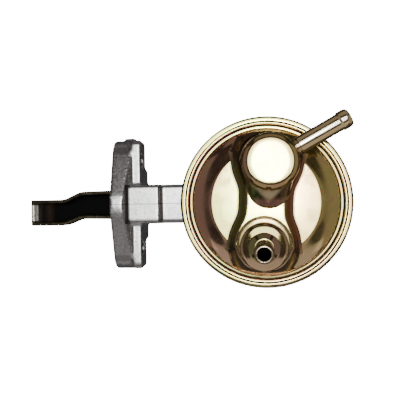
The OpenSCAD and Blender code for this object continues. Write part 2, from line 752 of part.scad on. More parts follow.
module rocker_arm() {
    color("dimgray") difference() {
        intersection() {
            linear_extrude(40, center = true) arm_plan(0);
            union() {
                translate([0, arm_w, 0]) rotate([90, 0, 0]) linear_extrude(2 * arm_w) arm_side(0);
                translate([pivot_x, arm_w, 0]) rotate([90, 0, 0]) cylinder(r = arm_eye_r, h = 2 * arm_w);
            }
        }
        intersection() {
            linear_extrude(40, center = true) arm_plan(arm_t);
            translate([0, arm_w, 0]) rotate([90, 0, 0]) linear_extrude(2 * arm_w)
                polygon(concat([[pivot_x + 20, -arm_floor - 5], [arm_floor_end, -arm_floor - 5]],
                               arm_sole(arm_t), [[-arm_reach - 5, 20], [pivot_x + 20, 20]]));
        }
        translate([pivot_x, arm_w, 0]) rotate([90, 0, 0]) cylinder(r = pin_r + running, h = 2 * arm_w);
    }
}

module pivot_pin() {
    len = neck_w - 2 * plug_t;
    color("lightsteelblue") translate([pivot_x, len / 2, 0]) rotate([90, 0, 0])
        cylinder(r = pin_r, h = len);
}

module pivot_plugs() {
    color("silver") for (side = [-1, 1])
        translate([pivot_x, side * (neck_w / 2 - plug_t), 0]) rotate([-side * 90, 0, 0])
            cylinder(r = plug_r, h = plug_t);
}

module pivot_washers() {
    color("lightsteelblue") for (side = [-1, 1])
        translate([pivot_x, side * (channel_w / 2 - washer_t), 0]) rotate([-side * 90, 0, 0])
            difference() {
                cylinder(r = washer_r, h = washer_t);
                translate([0, 0, -1]) cylinder(r = pin_r + fixed, h = washer_t + 2);
            }
}

// Inner lever: an eye on the pin, a tail that rests on the arm's floor, and a fork round the rod
module link_lever() {
    tail_x = return_x + return_r + gap + 0.5;
    tail_bottom = -arm_floor + arm_t + gap;
    slot_w = rod_neck_r + gap;
    slot_back = rod_neck_r + 3 * gap;
    color("gray") difference() {
        union() {
            translate([pivot_x, lever_w / 2, 0]) rotate([90, 0, 0])
                cylinder(r = lever_eye_r, h = lever_w);
            across_y([[pivot_x, lever_eye_r], [drum_x - floor_r, -2 * gap],
                      [drum_x - 12, -fork_z + 1], [drum_x - 6, -fork_z],
                      [drum_x - 6, fork_bottom], [drum_x - 12, fork_bottom - 1],
                      [pivot_x, -lever_eye_r]], -lever_w / 2, lever_w / 2);
            across_y([[tail_x, tail_bottom], [pivot_x, tail_bottom], [pivot_x, 2],
                      [tail_x + 1, tail_bottom + 2.4], [tail_x, tail_bottom + 2]],
                     -lever_w / 2, lever_w / 2);
            translate([drum_x - 8, -fork_w / 2, fork_bottom]) cube([13, fork_w, fork_t]);
        }
        translate([pivot_x, lever_w, 0]) rotate([90, 0, 0])
            cylinder(r = pin_r + running, h = 2 * lever_w);
        translate([drum_x - slot_back + slot_w, 0, fork_bottom - 1])
            cylinder(r = slot_w, h = fork_t + 2);
        translate([drum_x - slot_back + slot_w, -slot_w, fork_bottom - 1])
            cube([20, 2 * slot_w, fork_t + 2]);
    }
}

module return_spring() {
    bottom = -arm_floor + arm_t + 0.1;
    color("lightsteelblue") translate([return_x, 0, bottom])
        coil(return_r, return_wire, channel_top - 0.1 - bottom, return_turns);
}

// Pull rod with its foot, its neck, its shaft and its riveted end, as one turned piece
module pull_rod() {
    neck_end = -fork_z + 2 * gap;
    rivet_z = upper_plate_z + disc_t;
    color("lightsteelblue") at_drum() rotate_extrude()
        polygon([[0, foot_top - rod_foot_t], [rod_foot_r - 0.5, foot_top - rod_foot_t],
                 [rod_foot_r, foot_top - rod_foot_t + 0.5], [rod_foot_r, foot_top - 0.8],
                 [rod_neck_r, foot_top], [rod_neck_r, neck_end], [rod_r, neck_end + 0.4],
                 [rod_r, lower_plate_z], [rod_neck_r, lower_plate_z], [rod_neck_r, rivet_z],
                 [rivet_r, rivet_z], [rivet_r * 0.7, rivet_z + rivet_h * 0.8],
                 [rivet_r * 0.3, rivet_z + rivet_h], [0, rivet_z + rivet_h]]);
}

module rod_seal() {
    lip = 0.8;
    color("dimgray") at_drum() rotate_extrude()
        polygon([[rod_r + 0.6, bowl_floor], [seal_r, bowl_floor], [seal_r, bowl_floor + seal_h],
                 [rod_r + 1.6, bowl_floor + seal_h], [rod_r + 1, bowl_floor + 1.6 + lip],
                 [rod_r + running, bowl_floor + 1.2 + lip], [rod_r + running, bowl_floor + 1.2]]);
}

module seal_retainer() {
    in_r = seal_r + 0.1;
    top = bowl_floor + seal_h;
    color("darkkhaki") at_drum() rotate_extrude()
        polygon([[rod_r + 1, top], [in_r, top], [in_r, bowl_floor], [retainer_r, bowl_floor],
                 [retainer_r, bowl_floor + retainer_t], [in_r + retainer_t, spring_seat_z],
                 [in_r + retainer_t, top + retainer_t], [rod_r + 1, top + retainer_t]]);
}

module diaphragm_spring() {
    color("lightsteelblue") at_drum(spring_seat_z + 0.1)
        coil(main_r, main_wire, lower_plate_z - spring_seat_z - 0.2, main_turns, 16, 8);
}

// A plate against the diaphragm, with its edge turned away from it: up is 1 or -1
module diaphragm_plate(up) {
    turn = 0.6;
    rotate_extrude()
        polygon([[rod_neck_r + fixed, 0], [plate_r - 2, 0], [plate_r, up * turn],
                 [plate_r, up * (turn + disc_t * 0.6)], [plate_r - 2.2, up * disc_t],
                 [rod_neck_r + fixed, up * disc_t]]);
}

module lower_plate() {
    color("darkkhaki") at_drum(plates_z) diaphragm_plate(-1);
}

module upper_plate() {
    color("darkkhaki") at_drum(upper_plate_z) diaphragm_plate(1);
}

// The diaphragm: clamped at its edge, with a rolled fold between the edge and the plates
module diaphragm() {
    inner = plate_r + 0.4;
    outer = bowl_in_r - 0.4;
    n = 12;
    fold = [for (i = [0:n])
        let (u = i / n)
        [inner + (outer - inner) * u,
         plates_z - rest_rise * u - fold_depth * (1 - cos(360 * u)) / 2]];
    upper = [for (i = [n:-1:0]) [fold[i][0], fold[i][1] + diaphragm_t]];
    color("dimgray") at_drum() rotate_extrude(convexity = 4)
        polygon(concat([[rod_neck_r + gap, plates_z]], fold, [[shell_r, rim_top]],
                       [[shell_r, clamp_top]], upper, [[rod_neck_r + gap, upper_plate_z]]));
}

// Valves: each is drawn with its seat's outer face at 0 and its disc above it

module valve_seat() {
    difference() {
        cylinder(r = seat_r, h = seat_t);
        for (i = [0:seat_ports - 1])
            rotate([0, 0, i * 360 / seat_ports])
                translate([seat_ring_r, 0, -1]) cylinder(r = seat_port_r, h = seat_t + 2, $fn = 24);
    }
}

module valve_disc() {
    translate([0, 0, seat_t]) cylinder(r = valve_r, h = valve_t);
}

module valve_spring(height) {
    translate([0, 0, seat_t + valve_t + 0.05])
        coil(valve_spring_r, valve_wire, height - 0.1, valve_turns, 10, 5);
}

module valve_cage(height) {
    top = seat_t + valve_t + height;
    windows = 4;
    difference() {
        rotate_extrude()
            polygon([[cage_r - cage_t, seat_t], [cage_r, seat_t], [cage_r, top],
                     [cage_r - cage_t, top + cage_t], [1.5, top + cage_t], [1.5, top],
                     [cage_r - cage_t, top]]);
        for (i = [0:windows - 1])
            rotate([0, 0, 45 + i * 360 / windows])
                translate([cage_r - 2, -2, seat_t + 0.8]) cube([4, 4, top - seat_t - 1.6]);
    }
}

module at_outlet_valve() {
    at_outlet_lobe(outlet_seat_z) children();
}

module at_inlet_valve() {
    at_inlet_lobe(inlet_seat_z + seat_t) mirror([0, 0, 1]) children();
}

module inlet_valve_seat() { color("goldenrod") at_inlet_valve() valve_seat(); }
module inlet_valve_disc() { color("dimgray") at_inlet_valve() valve_disc(); }
module inlet_valve_spring() { color("silver") at_inlet_valve() valve_spring(inlet_gap); }
module inlet_valve_cage() { color("goldenrod") at_inlet_valve() valve_cage(inlet_gap); }
module outlet_valve_seat() { color("goldenrod") at_outlet_valve() valve_seat(); }
module outlet_valve_disc() { color("dimgray") at_outlet_valve() valve_disc(); }
module outlet_valve_spring() { color("silver") at_outlet_valve() valve_spring(outlet_gap); }
module outlet_valve_cage() { color("goldenrod") at_outlet_valve() valve_cage(outlet_gap); }

lower_body();
cover();
crimp_ring();
outlet_turret();
outlet_pipe();
inlet_cup();
inlet_pipe();
rocker_arm();
pivot_pin();
pivot_plugs();
pivot_washers();
link_lever();
return_spring();
pull_rod();
rod_seal();
seal_retainer();
diaphragm_spring();
lower_plate();
diaphragm();
upper_plate();
inlet_valve_seat();
inlet_valve_disc();
inlet_valve_spring();
inlet_valve_cage();
outlet_valve_seat();
outlet_valve_disc();
outlet_valve_spring();
outlet_valve_cage();
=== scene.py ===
import math

import bmesh
import bpy
import numpy as np
from mathutils import Matrix, Vector


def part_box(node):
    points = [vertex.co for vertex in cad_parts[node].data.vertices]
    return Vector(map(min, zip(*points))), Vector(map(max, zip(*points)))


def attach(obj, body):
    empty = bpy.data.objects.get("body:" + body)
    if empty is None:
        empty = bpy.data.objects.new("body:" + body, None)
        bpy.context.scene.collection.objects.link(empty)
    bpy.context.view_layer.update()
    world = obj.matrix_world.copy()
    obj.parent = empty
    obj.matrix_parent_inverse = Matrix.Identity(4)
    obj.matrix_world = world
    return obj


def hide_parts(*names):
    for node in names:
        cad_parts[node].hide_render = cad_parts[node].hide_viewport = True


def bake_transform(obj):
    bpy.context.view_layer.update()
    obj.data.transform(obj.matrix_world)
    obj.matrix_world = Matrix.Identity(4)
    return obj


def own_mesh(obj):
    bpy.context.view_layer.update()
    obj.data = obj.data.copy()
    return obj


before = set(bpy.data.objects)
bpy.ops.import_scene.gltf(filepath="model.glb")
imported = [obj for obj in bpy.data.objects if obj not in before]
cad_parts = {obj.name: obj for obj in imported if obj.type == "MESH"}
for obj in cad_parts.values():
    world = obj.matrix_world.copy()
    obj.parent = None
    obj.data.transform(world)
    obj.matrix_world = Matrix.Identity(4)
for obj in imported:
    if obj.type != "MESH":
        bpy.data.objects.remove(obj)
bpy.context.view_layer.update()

MM = 0.001

# Places and sizes are in millimetres. These come from the frame.

def box_mm(node):
    """Lowest and highest corner of a CAD node, in millimetres."""
    low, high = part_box(node)
    return np.array(low) / MM, np.array(high) / MM

RING_LOW, RING_HIGH = box_mm("crimp_ring")
COVER_LOW, COVER_HIGH = box_mm("cover")
CAN_TOP = box_mm("outlet_turret")[1][2]
DRUM_X = (RING_LOW[0] + RING_HIGH[0]) / 2
DRUM_R = (RING_HIGH[0] - RING_LOW[0]) / 2
RING_T = 0.9
RIM_Z = RING_HIGH[2] - RING_T
SHEET = 1.0
RIDGE_H = COVER_HIGH[2] - RIM_Z
RIDGE_Z = COVER_HIGH[2]

# Form of the cover, as in the part's source
SHELL_R = (COVER_HIGH[0] - COVER_LOW[0]) / 2
FOOT_R = SHELL_R - 4.4
FLAT_R = FOOT_R - 9.3
KNEE_R = FOOT_R - 0.7
KNEE_H = 1.5
LENS_H = 5.5
SHOULDER_BEND = 2.6
LOBE_R = 0.54 * FOOT_R
LOBE_TOP_R = 12.5
LOBE_SLOPE = 4.5 / 2.9
WAIST_FOOT = 11.7
WAIST_TOP = 8.5
WAIST_SIDE_R = 62.0
RIDGE_TURN = math.radians(3.2)
BEAD_GROOVE_R = SHELL_R - 2.8

# Crimp ring: where its inner edge, its foot and its rolled lip lie
RING_EDGE_IN = 2.35
RING_FOOT_IN = 2.9
RING_FOOT_Z = -6.4
RING_LIP_Z = -5.5

# Outlet can and its slanted skirt
CAN_R = 12.4
CAN_EDGE = 3.4
SKIRT_H = 11.0
SKIRT_REACH = 10.0
SKIRT_DRIFT = 0.5
SKIRT_FOOT_R = 9.4
SKIRT_TOP_R = CAN_R - 0.9
SKIRT_BACK_R = CAN_R - 0.3

# Hose tails
TAIL_R = 3.8
TAIL_NECK_R = 3.4
TAIL_BORE_R = 2.8
HEAD_R = 4.25
HEAD_LEN = 5.2
HEAD_LAND = 1.8
OUTLET_ANGLE = math.radians(28.9)
OUTLET_H = 17.2
OUTLET_REACH = 38.6
INLET_LEAN = math.radians(4.5)
INLET_SHIFT = 1.0
INLET_LEN = 24.2

# Inlet cup
FOOT_RING_R = 12.3
CUP_H = 7.2
CUP_R = 10.8
COLLAR_H = 2.2
COLLAR_R = 6.0

LOBE = (LOBE_R * math.sin(RIDGE_TURN), LOBE_R * math.cos(RIDGE_TURN))
CAN = (LOBE[0] + 1.2, LOBE[1] - 1.1)
DRUM_XY = (DRUM_X, 0)
CAN_XY = (DRUM_X + CAN[0], CAN[1])
INLET_XY = (DRUM_X - LOBE[0], -LOBE[1])
OUTLET_XY = (DRUM_X + LOBE[0], LOBE[1])
AT_DRUM = Matrix.Translation((*DRUM_XY, 0))
AT_RIM = Matrix.Translation((*DRUM_XY, RIM_Z))
AT_CAN = Matrix.Translation((*CAN_XY, RIM_Z))
AT_OUTLET = (Matrix.Translation((*CAN_XY, RIM_Z + OUTLET_H))
             @ Matrix.Rotation(OUTLET_ANGLE, 4, "Z") @ Matrix.Rotation(math.pi / 2, 4, "Y"))
AT_INLET_FOOT = Matrix.Translation((*INLET_XY, RIDGE_Z))
AT_INLET = (Matrix.Translation((INLET_XY[0], INLET_XY[1] - INLET_SHIFT, RIDGE_Z))
            @ Matrix.Rotation(INLET_LEAN, 4, "X"))


# Node materials

class Nodes:
    """A material under construction: short calls that add nodes and link them."""

    def __init__(self, name):
        self.material = bpy.data.materials.new(name)
        self.material.use_nodes = True
        self.tree = self.material.node_tree
        self.shader = self.tree.nodes["Principled BSDF"]
        self.place = self.add("ShaderNodeTexCoord").outputs["Object"]
        normal = self.add("ShaderNodeNewGeometry").outputs["Normal"]
        self.x, self.y, self.z = self.add("ShaderNodeSeparateXYZ", Vector=self.place).outputs
        self.up = self.add("ShaderNodeSeparateXYZ", Vector=normal).outputs["Z"]
        self.level = self.math("ABSOLUTE", self.up)
        self.steep = self.math("SUBTRACT", 1.0, self.level)

    def add(self, kind, **inputs):
        """A new node, with its inputs set or linked by name."""
        node = self.tree.nodes.new(kind)
        for key, value in inputs.items():
            self.put(node.inputs[key.replace("_", " ")], value)
        return node

    def put(self, socket, value):
        """Links a socket to another one, or sets its value."""
        if isinstance(value, bpy.types.NodeSocket):
            self.tree.links.new(value, socket)
        elif isinstance(value, tuple) and len(value) == 3 and len(socket.default_value) == 4:
            socket.default_value = (*value, 1)
        else:
            socket.default_value = value

    def noise(self, scale, detail=2.0, roughness=0.5, distortion=0.0):
        node = self.add("ShaderNodeTexNoise", Vector=self.place, Scale=scale, Detail=detail,
                        Roughness=roughness, Distortion=distortion)
        return node.outputs["Fac"]

    def cells(self, scale):
        return self.add("ShaderNodeTexVoronoi", Vector=self.place, Scale=scale).outputs["Distance"]

    def reach(self, centre):
        """Distance from an upright axis, whose X and Y are in millimetres."""
        flat = self.add("ShaderNodeMapping", Vector=self.place, Scale=(1, 1, 0),
                        Location=(-centre[0] * MM, -centre[1] * MM, 0)).outputs[0]
        node = self.add("ShaderNodeVectorMath")
        node.operation = "LENGTH"
        self.put(node.inputs[0], flat)
        return node.outputs["Value"]

    def attribute(self, name):
        node = self.add("ShaderNodeAttribute")
        node.attribute_name = name
        return node.outputs["Fac"]

    def span(self, value, low, high, to_low=0.0, to_high=1.0):
        """Eases from one number to another while the value goes from low to high."""
        node = self.add("ShaderNodeMapRange", Value=value)
        node.interpolation_type = "SMOOTHSTEP"
        for key, number in (("From Min", low), ("From Max", high), ("To Min", to_low),
                            ("To Max", to_high)):
            node.inputs[key].default_value = number
        return node.outputs["Result"]

    def fade(self, place, off, on):
        """0 at one place along an axis and 1 at another, both in millimetres."""
        return self.span(place, off * MM, on * MM)

    def band(self, place, middle, half, soft):
        """1 within half a width of the middle, fading to 0 over the soft width, in millimetres."""
        away = self.math("ABSOLUTE", self.math("SUBTRACT", place, middle * MM))
        return self.span(away, half * MM, (half + soft) * MM, 1, 0)

    def math(self, operation, a, b=0.0):
        node = self.add("ShaderNodeMath")
        node.operation = operation
        self.put(node.inputs[0], a)
        self.put(node.inputs[1], b)
        return node.outputs[0]

    def times(self, first, *others):
        """All the values multiplied."""
        for other in others:
            first = self.math("MULTIPLY", first, other)
        return first

    def mix(self, share, a, b):
        """The colour a, with the given share of b laid over it."""
        node = self.add("ShaderNodeMix")
        node.data_type = "RGBA"
        self.put(node.inputs["Factor"], share)
        self.put(node.inputs[6], a)
        self.put(node.inputs[7], b)
        return node.outputs[2]

    def ramp(self, value, *stops):
        node = self.add("ShaderNodeValToRGB", Fac=value)
        marks = node.color_ramp.elements
        while len(marks) < len(stops):
            marks.new(0.5)
        for mark, (where, colour) in zip(marks, stops):
            mark.position = where
            mark.color = (*colour, 1)
        return node.outputs["Color"]

    def grain(self, marks, dark, light):
        """A colour between two tones, after the middle part of a noise."""
        return self.ramp(self.span(marks, 0.3, 0.7), (0.0, dark), (1.0, light))

    def bump(self, height, strength, distance_mm):
        node = self.add("ShaderNodeBump", Strength=strength, Distance=distance_mm * MM,
                        Height=height)
        self.put(self.shader.inputs["Normal"], node.outputs[0])

    def finish(self, colour, roughness, metallic=1.0, **more):
        """Sets the shader's inputs and gives the finished material."""
        self.put(self.shader.inputs["Base Color"], colour)
        self.put(self.shader.inputs["Roughness"], roughness)
        self.put(self.shader.inputs["Metallic"], metallic)
        for key, value in more.items():
            self.put(self.shader.inputs[key.replace("_", " ")], value)
        return self.material


# Yellow passivated zinc: its film, and one function for each stretch of painted shade and painted
# reflection laid over it

# Radius and half width of the painted shade lines: ring's outer edge, ring's inner edge, bead, dome's
# foot
RIM_SHADE_LINES = ((DRUM_R - 0.25, 0.35), (DRUM_R - 2.5, 0.18), (BEAD_GROOVE_R - 0.1, 0.3),
             (FOOT_R - 0.4, 0.15))
LINE_SOFT = 0.2

# Where each stretch begins and where it is full, in millimetres; most are painted shade and painted
# reflection
LEFT_TO_RIGHT = (DRUM_X - 26, DRUM_X + 26)
TO_THE_FRONT = (-12, -30)
RIM_BELOW = (RIM_Z + 1.6, RIM_Z + 1.3)
RIM_ABOVE = (RIM_Z - 0.9, RIM_Z - 0.3)
WAIST_RIGHT = (DRUM_X - 3, DRUM_X + 3)
CAN_FOOT_BACK = (5, 9)
CUP_FRONT = (-3, -4)
CONE_FRONT = (-4, -6)
CONE_ABOVE = (RIDGE_Z + CUP_H - 0.6, RIDGE_Z + CUP_H + 0.2)
CONE_RIGHT = (DRUM_X - 4, DRUM_X + 3)
SKIRT_ABOVE = (RIDGE_Z + 0.4, RIDGE_Z + 0.8)
SKIRT_BELOW = (RIDGE_Z + 12.5, RIDGE_Z + 11.0)
SKIRT_BEHIND = (-4.5, -3.5)
SKIRT_BEFORE = (12, 6)
SKIRT_SPLIT = (DRUM_X - 1, DRUM_X + 4)
SKIRT_FOOT = (2.6, 0.2)
# The skirt's painted reflection of the bridge: a pale V about this X, wider the further it lies past
# this Y
V_MIDDLE_X = CAN_XY[0] - 0.8
V_FOOT_Y = 1
V_SPREAD = 0.9
UNDER_WITHIN = (9, 8)
UNDER_BELOW = (RIDGE_Z + 0.3, RIDGE_Z + 0.1)

# Painted shade and painted reflections laid over the film, the darkened foot ring, and the bores'
# painted black shade
GROOVE_SHADE = (0.014, 0.012, 0.007)
CAN_FOOT_SHADE = (0.06, 0.04, 0.02)
FOOT_RING_DARK = (0.16, 0.12, 0.06)
CUP_OLIVE_SHADE = (0.20, 0.22, 0.07)
CUP_PINK_SHADE = (0.30, 0.16, 0.12)
SKIRT_LEFT = (0.022, 0.028, 0.010)
SKIRT_RIGHT = (0.045, 0.018, 0.012)
SKIRT_MIDDLE = (0.50, 0.39, 0.23)
SKIRT_LOW = (0.24, 0.12, 0.09)
SKIRT_DULL = 0.8
BORE_SHADE = (0.004, 0.004, 0.003)


def zinc_film_and_shade(n, flats, slopes, walls):
    """The film's own tints where the surface is level, with painted reflection and painted shade on
    slopes, tinted by side and darker on walls.
    """
    drift = n.noise(38, 2, 0.5, distortion=0.6)
    streak = n.noise(70, 4, 0.6, distortion=1.2)
    across = n.fade(n.x, *LEFT_TO_RIGHT)
    along = n.fade(n.y, *TO_THE_FRONT)
    tint = n.ramp(n.span(drift, 0.32, 0.68), (0.0, flats[1]), (0.42, flats[0]), (0.62, flats[0]),
                  (1.0, flats[2]))
    tint = n.mix(0.35, tint, n.mix(across, flats[1], flats[2]))
    # Painted reflection and shade: the slopes' tone changes from left to right and towards the front.
    # The streaks are the film's own.
    film = n.mix(across, slopes[0], slopes[1])
    film = n.mix(n.times(along, 0.75), film, slopes[2])
    film = n.mix(n.span(streak, 0.52, 0.72, 0, 0.55), film, slopes[3])
    film = n.mix(n.span(streak, 0.30, 0.46, 0.45, 0), film, slopes[4])
    colour = n.mix(n.span(n.steep, 0.002, 0.05), tint, film)
    # Painted shade: walls darker.
    return n.mix(n.span(n.steep, 0.45, 0.8), colour, walls)


def rim_shade_lines(n, colour):
    """Painted shade lines round the rim, which stay out of the walls below it and the dome above it."""
    radius = n.reach(DRUM_XY)
    lines = 0.0
    for middle, half in RIM_SHADE_LINES:
        lines = n.math("MAXIMUM", lines, n.band(radius, middle, half, LINE_SOFT))
    near = n.times(lines, n.fade(n.z, *RIM_BELOW), n.fade(n.z, *RIM_ABOVE))
    return n.mix(near, colour, GROOVE_SHADE)


def waist_shade(n, colour, waist):
    """Painted shade on the ridge's steep sides at its waist, with one tone on the left and one on the
    right.
    """
    sides = n.times(n.attribute("ridge"), n.span(n.steep, 0.003, 0.03), n.band(n.y, 0, 18, 9))
    right = n.fade(n.x, *WAIST_RIGHT)
    return n.mix(sides, colour, n.mix(right, waist[0], waist[1]))


def can_foot_shade(n, colour):
    """Painted shade round the can's foot where it stands on its lobe, away from the skirt."""
    foot = n.times(n.band(n.reach(CAN_XY), CAN_R + 2.4, 2.2, 0.4), n.band(n.z, RIDGE_Z + 0.3, 1.2, 0.6),
                   n.fade(n.y, *CAN_FOOT_BACK))
    return n.mix(foot, colour, CAN_FOOT_SHADE)


def cup_dark_ring_and_cone_shade(n, colour):
    """The inlet cup's darkened foot ring, and painted olive and pink shade on its cone, left and right.
    """
    grooves = n.times(n.band(n.z, RIDGE_Z + 1.2, 0.9, 0.2), n.fade(n.y, *CUP_FRONT), 0.9)
    colour = n.mix(grooves, colour, FOOT_RING_DARK)
    cone = n.times(n.fade(n.z, *CONE_ABOVE), n.fade(n.y, *CONE_FRONT), n.span(n.steep, 0.03, 0.1), 0.75)
    right = n.fade(n.x, *CONE_RIGHT)
    return n.mix(cone, colour, n.mix(right, CUP_OLIVE_SHADE, CUP_PINK_SHADE))


def skirt_mask(n):
    """1 on the can's slanted skirt."""
    return n.times(n.fade(n.z, *SKIRT_ABOVE), n.fade(n.z, *SKIRT_BELOW), n.fade(n.y, *SKIRT_BEHIND),
                   n.fade(n.y, *SKIRT_BEFORE), n.span(n.steep, 0.12, 0.3))


def skirt_reflection(n):
    """Painted reflections on the skirt: dark sides with a pale V down the middle, and a brown foot."""
    away = n.math("ABSOLUTE", n.math("SUBTRACT", n.x, V_MIDDLE_X * MM))
    away = n.math("SUBTRACT", away, n.times(n.math("SUBTRACT", n.y, V_FOOT_Y * MM), V_SPREAD))
    shade = n.mix(n.fade(n.x, *SKIRT_SPLIT), SKIRT_LEFT, SKIRT_RIGHT)
    shade = n.mix(n.span(away, -0.5 * MM, 2.6 * MM, 1, 0), shade, SKIRT_MIDDLE)
    return n.mix(n.times(n.fade(n.y, *SKIRT_FOOT), 0.85), shade, SKIRT_LOW)


def under_inlet(n):
    """1 on the cover under the inlet cup, which only shows through the tail's bore and takes the bore's
    painted black shade.
    """
    return n.times(n.fade(n.reach(INLET_XY), *UNDER_WITHIN), n.fade(n.z, *UNDER_BELOW))


def passivated_zinc(name, flats, slopes, walls, roughness, waist=None):
    """Yellow passivated zinc. With colours for the waist, it is the cover and what stands on it."""
    n = Nodes(name)
    colour = zinc_film_and_shade(n, flats, slopes, walls)
    # Tails' bores, and the cover seen down the inlet's bore, take painted black shade: dark, rough and
    # not metallic
    inside = n.attribute("inside")
    dull = 0.0
    if waist:
        colour = cup_dark_ring_and_cone_shade(n, can_foot_shade(n, waist_shade(n, rim_shade_lines(n, colour), waist)))
        skirt = skirt_mask(n)
        # The skirt's painted reflection, on less metal
        colour = n.mix(skirt, colour, skirt_reflection(n))
        dull = n.times(skirt, SKIRT_DULL)
        inside = n.math("MAXIMUM", inside, under_inlet(n))
    unshaded = n.math("SUBTRACT", 1.0, inside)
    colour = n.mix(inside, colour, BORE_SHADE)
    fine = n.noise(900, 3, 0.6)
    smear = n.noise(140, 3, 0.6)
    rough = n.math("ADD", n.span(smear, 0.3, 0.7, roughness - 0.03, roughness + 0.05),
                   n.span(fine, 0.3, 0.7, -0.02, 0.02))
    rough = n.math("ADD", rough, n.times(inside, 0.7))
    n.bump(n.math("ADD", n.times(fine, 0.3), n.noise(260, 2, 0.5)), 0.06, 0.05)
    return n.finish(colour, rough, n.math("SUBTRACT", unshaded, dull),
                    Specular_IOR_Level=n.times(unshaded, 0.5))


# Where the casting's painted shade strip at its root lies beside the neck, in X, and how far it reaches
# in Y
ROOT_SHADE_X = (6.9, 7.3, 9.0, 9.6)
ROOT_SHADE_Y = 9.3
SEAM_Y = 0.1


def cast_aluminium():
    """Die-cast skin: light grey with pale specks and a parting line, with painted shade on its slopes,
    its walls and its root beside the neck.
    """
    n = Nodes("cast_aluminium")
    specks = n.span(n.cells(1500), 0.10, 0.36, 1, 0)
    grain = n.noise(1100, 4, 0.7)
    base = n.grain(n.noise(120, 3, 0.55), (0.62, 0.61, 0.60), (0.76, 0.75, 0.74))
    base = n.mix(n.span(grain, 0.5, 0.68, 0, 0.8), base, (0.93, 0.92, 0.91))
    base = n.mix(n.times(specks, 0.5), base, (0.98, 0.98, 0.97))
    base = n.mix(n.span(n.noise(620, 4, 0.85), 0.40, 0.52, 0.6, 0), base, (0.30, 0.295, 0.29))
    base = n.mix(n.times(n.band(n.y, SEAM_Y, 0.12, 0.3), 0.75), base, (0.22, 0.22, 0.22))
    # Painted shade on faces tilted from level
    flank_shade = n.times(n.span(n.steep, 0.015, 0.06), n.span(n.steep, 0.4, 0.12), 0.86)
    base = n.mix(flank_shade, base, (0.14, 0.125, 0.12))
    # Painted shade in the concave root beside the neck
    root = n.times(n.fade(n.x, ROOT_SHADE_X[3], ROOT_SHADE_X[2]), n.band(n.y, 0, ROOT_SHADE_Y, 0.3),
                   n.fade(n.x, ROOT_SHADE_X[0], ROOT_SHADE_X[1]), 0.9)
    base = n.mix(root, base, (0.035, 0.033, 0.032))
    # Painted shade on walls
    base = n.mix(n.span(n.steep, 0.3, 0.7, 0, 0.45), base, (0.36, 0.35, 0.34))
    n.bump(n.math("ADD", grain, n.times(n.cells(700), 0.6)), 0.30, 0.08)
    return n.finish(base, n.span(grain, 0.3, 0.7, 0.26, 0.40))


# The arm's upturned edges rise to this Z. Its painted brown sheen across the floor and its worn tip lie
# at these X.
EDGE_Z = (-4.6, -1.0)
SHEEN_X = -37.4
TIP_X = (-42.6, -43.2)
TIP_HALF = 3.6


def oiled_arm_steel():
    """Blackened and oiled pressed steel, olive-brown on its upturned edges, worn at the tip, with a
    painted brown sheen across its floor.
    """
    n = Nodes("arm_steel")
    film = n.noise(160, 4, 0.6, distortion=0.5)
    dark = n.grain(film, (0.0016, 0.0014, 0.0016), (0.004, 0.0035, 0.0035))
    edge = n.times(n.span(n.up, 0.2, 0.8), n.fade(n.z, *EDGE_Z))
    brown = n.ramp(n.noise(420, 3), (0.3, (0.035, 0.029, 0.017)), (0.7, (0.10, 0.085, 0.052)))
    colour = n.mix(n.times(edge, 0.9), dark, brown)
    # Painted brown sheen across the floor where it curves up to the tip
    colour = n.mix(n.times(n.band(n.x, SHEEN_X, 0.1, 3.2), 0.6), colour, (0.030, 0.016, 0.009))
    bright = n.times(n.fade(n.x, *TIP_X), n.band(n.y, -TIP_HALF, TIP_HALF, 0.8),
                     n.span(n.noise(500, 3), 0.25, 0.5))
    colour = n.mix(bright, colour, (0.75, 0.70, 0.62))
    n.bump(n.noise(700, 4, 0.6), 0.25, 0.05)
    bare = n.math("MAXIMUM", edge, bright)
    shine = n.math("ADD", n.span(n.level, 0.6, 0.2, 0.03, 0.5), n.times(bare, 0.44))
    return n.finish(colour, n.span(film, 0.3, 0.7, 0.42, 0.6), bare, Specular_IOR_Level=shine)


def plain_metal(name, dark, light, roughness, scale=400):
    """A turned, drawn or pressed metal surface with fine marks."""
    n = Nodes(name)
    marks = n.noise(scale, 4, 0.6)
    n.bump(marks, 0.15, 0.03)
    return n.finish(n.grain(marks, dark, light),
                    n.span(n.noise(150, 2), 0.3, 0.7, roughness - 0.05, roughness + 0.08))


def brass_with_bore_shade():
    """Pressed brass, painted near black as shade in the middle of the inlet's valve, under the tail's
    bore.
    """
    n = Nodes("brass")
    marks = n.noise(500, 4, 0.6)
    shade_down_bore = n.fade(n.reach(INLET_XY), 6.0, 4.5)
    unshaded_brass = n.math("SUBTRACT", 1.0, shade_down_bore)
    colour = n.mix(shade_down_bore, n.grain(marks, (0.50, 0.36, 0.14), (0.70, 0.54, 0.25)),
                   (0.012, 0.010, 0.007))
    n.bump(marks, 0.15, 0.03)
    return n.finish(colour, n.math("ADD", 0.32, n.times(shade_down_bore, 0.5)), unshaded_brass,
                    Specular_IOR_Level=n.times(unshaded_brass, 0.5))


CLOTH_PITCH = 0.7


def moulded_rubber(name, dark, light, weave=0.0):
    """Matt rubber, with the print of its cloth where it has one."""
    n = Nodes(name)
    grain = n.noise(900, 3, 0.6)
    height = grain
    if weave:
        for axis in (n.x, n.y):
            wave = n.math("SINE", n.times(axis, 2 * math.pi / (CLOTH_PITCH * MM)))
            height = n.math("ADD", height, n.times(wave, weave))
    n.bump(height, 0.3, 0.06)
    return n.finish(n.grain(grain, dark, light), n.span(grain, 0.3, 0.7, 0.6, 0.8), 0.0)
